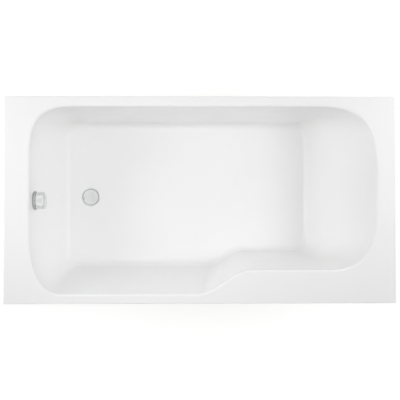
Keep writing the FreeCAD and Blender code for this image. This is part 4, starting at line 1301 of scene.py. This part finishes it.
def chipboard():
    """Flakes of several browns pressed flat, with pores between them."""
    shader = Shader("chipboard")
    flakes, pores = shader.cells(190, shader.stretched((1, 1, 3)))
    shader.coat(flakes, (0.42, 0.29, 0.17), (0.68, 0.52, 0.33), shader.noise(300, 3), (0.65, 0.85))
    shader.bump(pores, 0.3 * MM)
    shader.bump(shader.noise(900, 2), 0.1 * MM)
    return shader.material


def softwood():
    """Planed softwood with long grain."""
    shader = Shader("softwood")
    grain = shader.noise(90, 4, shader.stretched((0.06, 1, 1)))
    tone = shader.spread(grain, 0, 1)
    shader.coat(tone, (0.60, 0.42, 0.24), (0.78, 0.61, 0.40), shader.noise(200, 3), (0.55, 0.75))
    shader.bump(grain, 0.3 * MM)
    return shader.material


def zinc():
    """Galvanised sheet with its spangle of grey crystals."""
    shader = Shader("zinc", 0.9)
    spangle = shader.cells(95)[0]
    shader.coat(spangle, (0.50, 0.52, 0.54), (0.66, 0.68, 0.70), spangle, (0.28, 0.46))
    shader.bump(shader.noise(420, 3), 0.06 * MM)
    return shader.material


def finish(name, tone, dark, light, grain, rough, relief=None, metal=0):
    """Faint clouds between two tones, and a roughness and a relief of fine grain."""
    shader = Shader(name, metal)
    shader.coat(shader.spread(shader.noise(*tone), 0, 1), dark, light, shader.noise(*grain), rough)
    if relief:
        fineness, detail, depth = relief
        shader.bump(shader.noise(fineness, detail), depth * MM)
    return shader.material


# Fineness and detail of the clouds, their dark and light, fineness and detail of the roughness, its
# least and most, fineness, detail and depth in millimetres of the relief, and 1 for metal
finishes = {
    "acrylic": (
        (3, 2), (0.925, 0.925, 0.924), (0.935, 0.935, 0.935), (9, 3), (0.14, 0.22), (26, 1, 0.12),
    ),
    "chrome": ((60, 2), (0.78, 0.785, 0.79), (0.82, 0.825, 0.83), (140, 3), (0.05, 0.09), None, 1),
    # Satin chrome is rougher than chrome and darker; the darker tone is painted shade for the gaps round
    # the waste's flange and the overflow's ring
    "satin_chrome_painted_shade": ((60, 2), (0.52, 0.525, 0.53), (0.56, 0.565, 0.57), (140, 3), (0.2, 0.28), None, 1),
    "steel": (
        (225, 3), (0.52, 0.53, 0.52), (0.64, 0.65, 0.62), (450, 3), (0.22, 0.38), (900, 2, 0.04), 1,
    ),
    "pad_plastic": (
        (375, 3), (0.02, 0.02, 0.022), (0.035, 0.035, 0.038), (750, 3), (0.45, 0.6), (1500, 2, 0.08),
    ),
    "rubber": (
        (500, 3), (0.015, 0.015, 0.015), (0.03, 0.03, 0.03), (1000, 3), (0.65, 0.85), (2000, 2, 0.05),
    ),
    "white_plastic": (
        (300, 3), (0.74, 0.74, 0.73), (0.78, 0.78, 0.77), (600, 3), (0.3, 0.42), (1200, 2, 0.03),
    ),
    "grey_plastic": (
        (375, 3), (0.2, 0.21, 0.22), (0.26, 0.27, 0.28), (750, 3), (0.4, 0.55), (1500, 2, 0.05),
    ),
    "cable_plastic": (
        (375, 3), (0.02, 0.02, 0.02), (0.04, 0.04, 0.04), (750, 3), (0.4, 0.55), (1500, 2, 0.05),
    ),
}
materials = {name: finish(name, *values) for name, values in finishes.items()}
materials.update(glass_fibre=backing(), board=chipboard(), softwood=softwood(), galvanised=zinc())


def dress_nodes():
    """Every CAD node takes the material of its slot, and edges that catch the light."""
    for part in frame["record"]["subparts"]:
        node = frame["nodes"][part["node"]]
        slot = "softwood" if part["node"].startswith("rim_batten") else part["material_slot"]
        node.data.materials.clear()
        node.data.materials.append(materials[slot])
        weld = node.modifiers.new("weld", "WELD")
        weld.merge_threshold = weld_reach
        flat = node.modifiers.new("flat", "DECIMATE")
        flat.decimate_type = "DISSOLVE"
        flat.angle_limit = flat_angle
        bevel = node.modifiers.new("bevel", "BEVEL")
        bevel.width = edge_width.get(slot, other_edge_width)
        bevel.segments = 2
        bevel.angle_limit = bevel_angle
        node.modifiers.new("normals", "WEIGHTED_NORMAL").keep_sharp = True


camera_lens = 66.33
camera_sensor = 36
camera_place = (-0.0594, -0.0559, rim_height + 3.1934)
camera_turn = (0.984, -1.024, -0.047)


def camera():
    """Straight above the basin, as the photograph was taken."""
    data = bpy.data.cameras.new("camera")
    data.lens = camera_lens
    data.sensor_width = camera_sensor
    obj = set_out("camera", data)
    obj.location = camera_place
    obj.rotation_euler = [math.radians(angle) for angle in camera_turn]
    bpy.context.scene.camera = obj


# Each soft light: azimuth from +X towards +Y and elevation in degrees, distance, width, height, power
lights = {
    "left_low": (180, 12, 3.6, 1.6, 0.5, 17.9),
    "left": (180, 30, 3.6, 1.6, 1.2, 17.7),
    "left_high": (180, 50, 3.6, 1.6, 1.2, 1.8),
    "left_near": (160, 18, 1.9, 0.9, 0.9, 5),
    "left_rim": (180, 60, 1.3, 0.6, 0.6, 0.8),
    "drain_above": (180, 76, 1.5, 0.5, 0.5, 6.7),
    "right_near": (20, 18, 1.9, 0.9, 0.9, 7.2),
    "right_high": (0, 42, 3.6, 1.6, 1.2, 34.7),
    "above": (0, 84, 0.9, 0.6, 0.4, 0.55),
    "front_side": (270, -5, 3, 2.4, 0.4, 14),
    "back_side": (90, -5, 3, 2.4, 0.4, 14),
}
glints = {
    "left_glint": (180, 42, 3.6, 1.6, 1.2, 16),
    "right_glint": (0, 42, 3.6, 1.6, 1.2, 16),
}
world_strength = 0.235

# The sky that reflections see, near the horizon and overhead: two strengths, and from which to which
# upward share of their direction the first turns into the second
sky_rise = (0.42, 1, 0.05, 0.42)
sky_fall = (1, 0.84, 0.75, 1)


def soft_light(name, reflected, azimuth, elevation, distance, width, height, power):
    """A soft box that faces the middle of the rim, only for reflections or only for light."""
    data = bpy.data.lights.new(name, "AREA")
    data.shape = "RECTANGLE"
    data.size, data.size_y = width, height
    data.energy = power
    obj = set_out(name, data)
    a, e = math.radians(azimuth), math.radians(elevation)
    away = Vector((math.cos(e) * math.cos(a), math.cos(e) * math.sin(a), math.sin(e)))
    obj.location = Vector((0, 0, rim_height)) + away * distance
    obj.rotation_mode = "QUATERNION"
    obj.rotation_quaternion = (-away).to_track_quat("-Z", "Y")
    obj.visible_camera = False
    obj.visible_glossy = reflected
    obj.visible_diffuse = not reflected


def world():
    """A grey sky that the camera sees as white. Reflections see it darker near the horizon."""
    scene_world = bpy.data.worlds.new("world")
    scene_world.use_nodes = True
    nodes = Nodes(scene_world.node_tree)
    upward = nodes.add("SeparateXYZ", {"Vector": nodes.output("TexCoord", "Generated")}).outputs["Z"]
    reflected = nodes.math("MULTIPLY", nodes.spread(upward, *sky_rise), nodes.spread(upward, *sky_fall))
    shown = nodes.math("MAXIMUM", reflected, nodes.output("LightPath", "Is Camera Ray"))
    background = nodes.tree.nodes["Background"].inputs
    background["Color"].default_value = (1, 1, 1, 1)
    nodes.put(nodes.spread(nodes.seen(), world_strength, shown, 0, 1), background["Strength"])
    bpy.context.scene.world = scene_world


# The floor: half its side, how bright it is seen, its seen and its unseen tone, its roughness, and
# the distances between which it fades to white
floor_reach = 9
floor_glow = 0.78
floor_shade = 0.34
floor_tone = 0.8
floor_roughness = 0.9
floor_fade = (1.3, 3.2)


def studio_floor():
    """A pale floor that shows as white from above, keeps a soft shadow, and is clear from below."""
    mesh = bpy.data.meshes.new("studio_floor")
    corners = [(x * floor_reach, y * floor_reach, 0) for x, y in ((-1, -1), (1, -1), (1, 1), (-1, 1))]
    mesh.from_pydata(corners, [], [(0, 1, 2, 3)])
    set_out("studio_floor", mesh)
    shader = Shader("studio_floor")
    from_above = shader.spread(shader.output("NewGeometry", "Backfacing"), 1, 0, 0, 1)
    distance = shader.add("VectorMath", {0: shader.place})
    distance.operation = "LENGTH"
    start, end = floor_fade
    fade = {"Value": distance.outputs["Value"], "From Min": start, "From Max": end, "To Min": floor_glow}
    glow = shader.add("MapRange", fade)
    glow.interpolation_type = "SMOOTHSTEP"
    seen = shader.seen()
    for key, value in (
        ("Roughness", floor_roughness),
        ("Emission Color", (1, 1, 1, 1)),
        ("Emission Strength", shader.spread(seen, 0, glow.outputs["Result"], 0, 1)),
        ("Base Color", shader.spread(seen, floor_tone, floor_shade, 0, 1)),
        ("Alpha", from_above),
    ):
        shader.put(value, shader.sockets[key])
    mesh.materials.append(shader.material)


camera()
build_tub()
build_overflow()
build_waste()
build_pipes()
build_feet()
dress_nodes()
studio_floor()
world()
for name, values in lights.items():
    soft_light(name, False, *values)
for name, values in glints.items():
    soft_light(name, True, *values)
bpy.context.scene.view_settings.view_transform = "Standard"
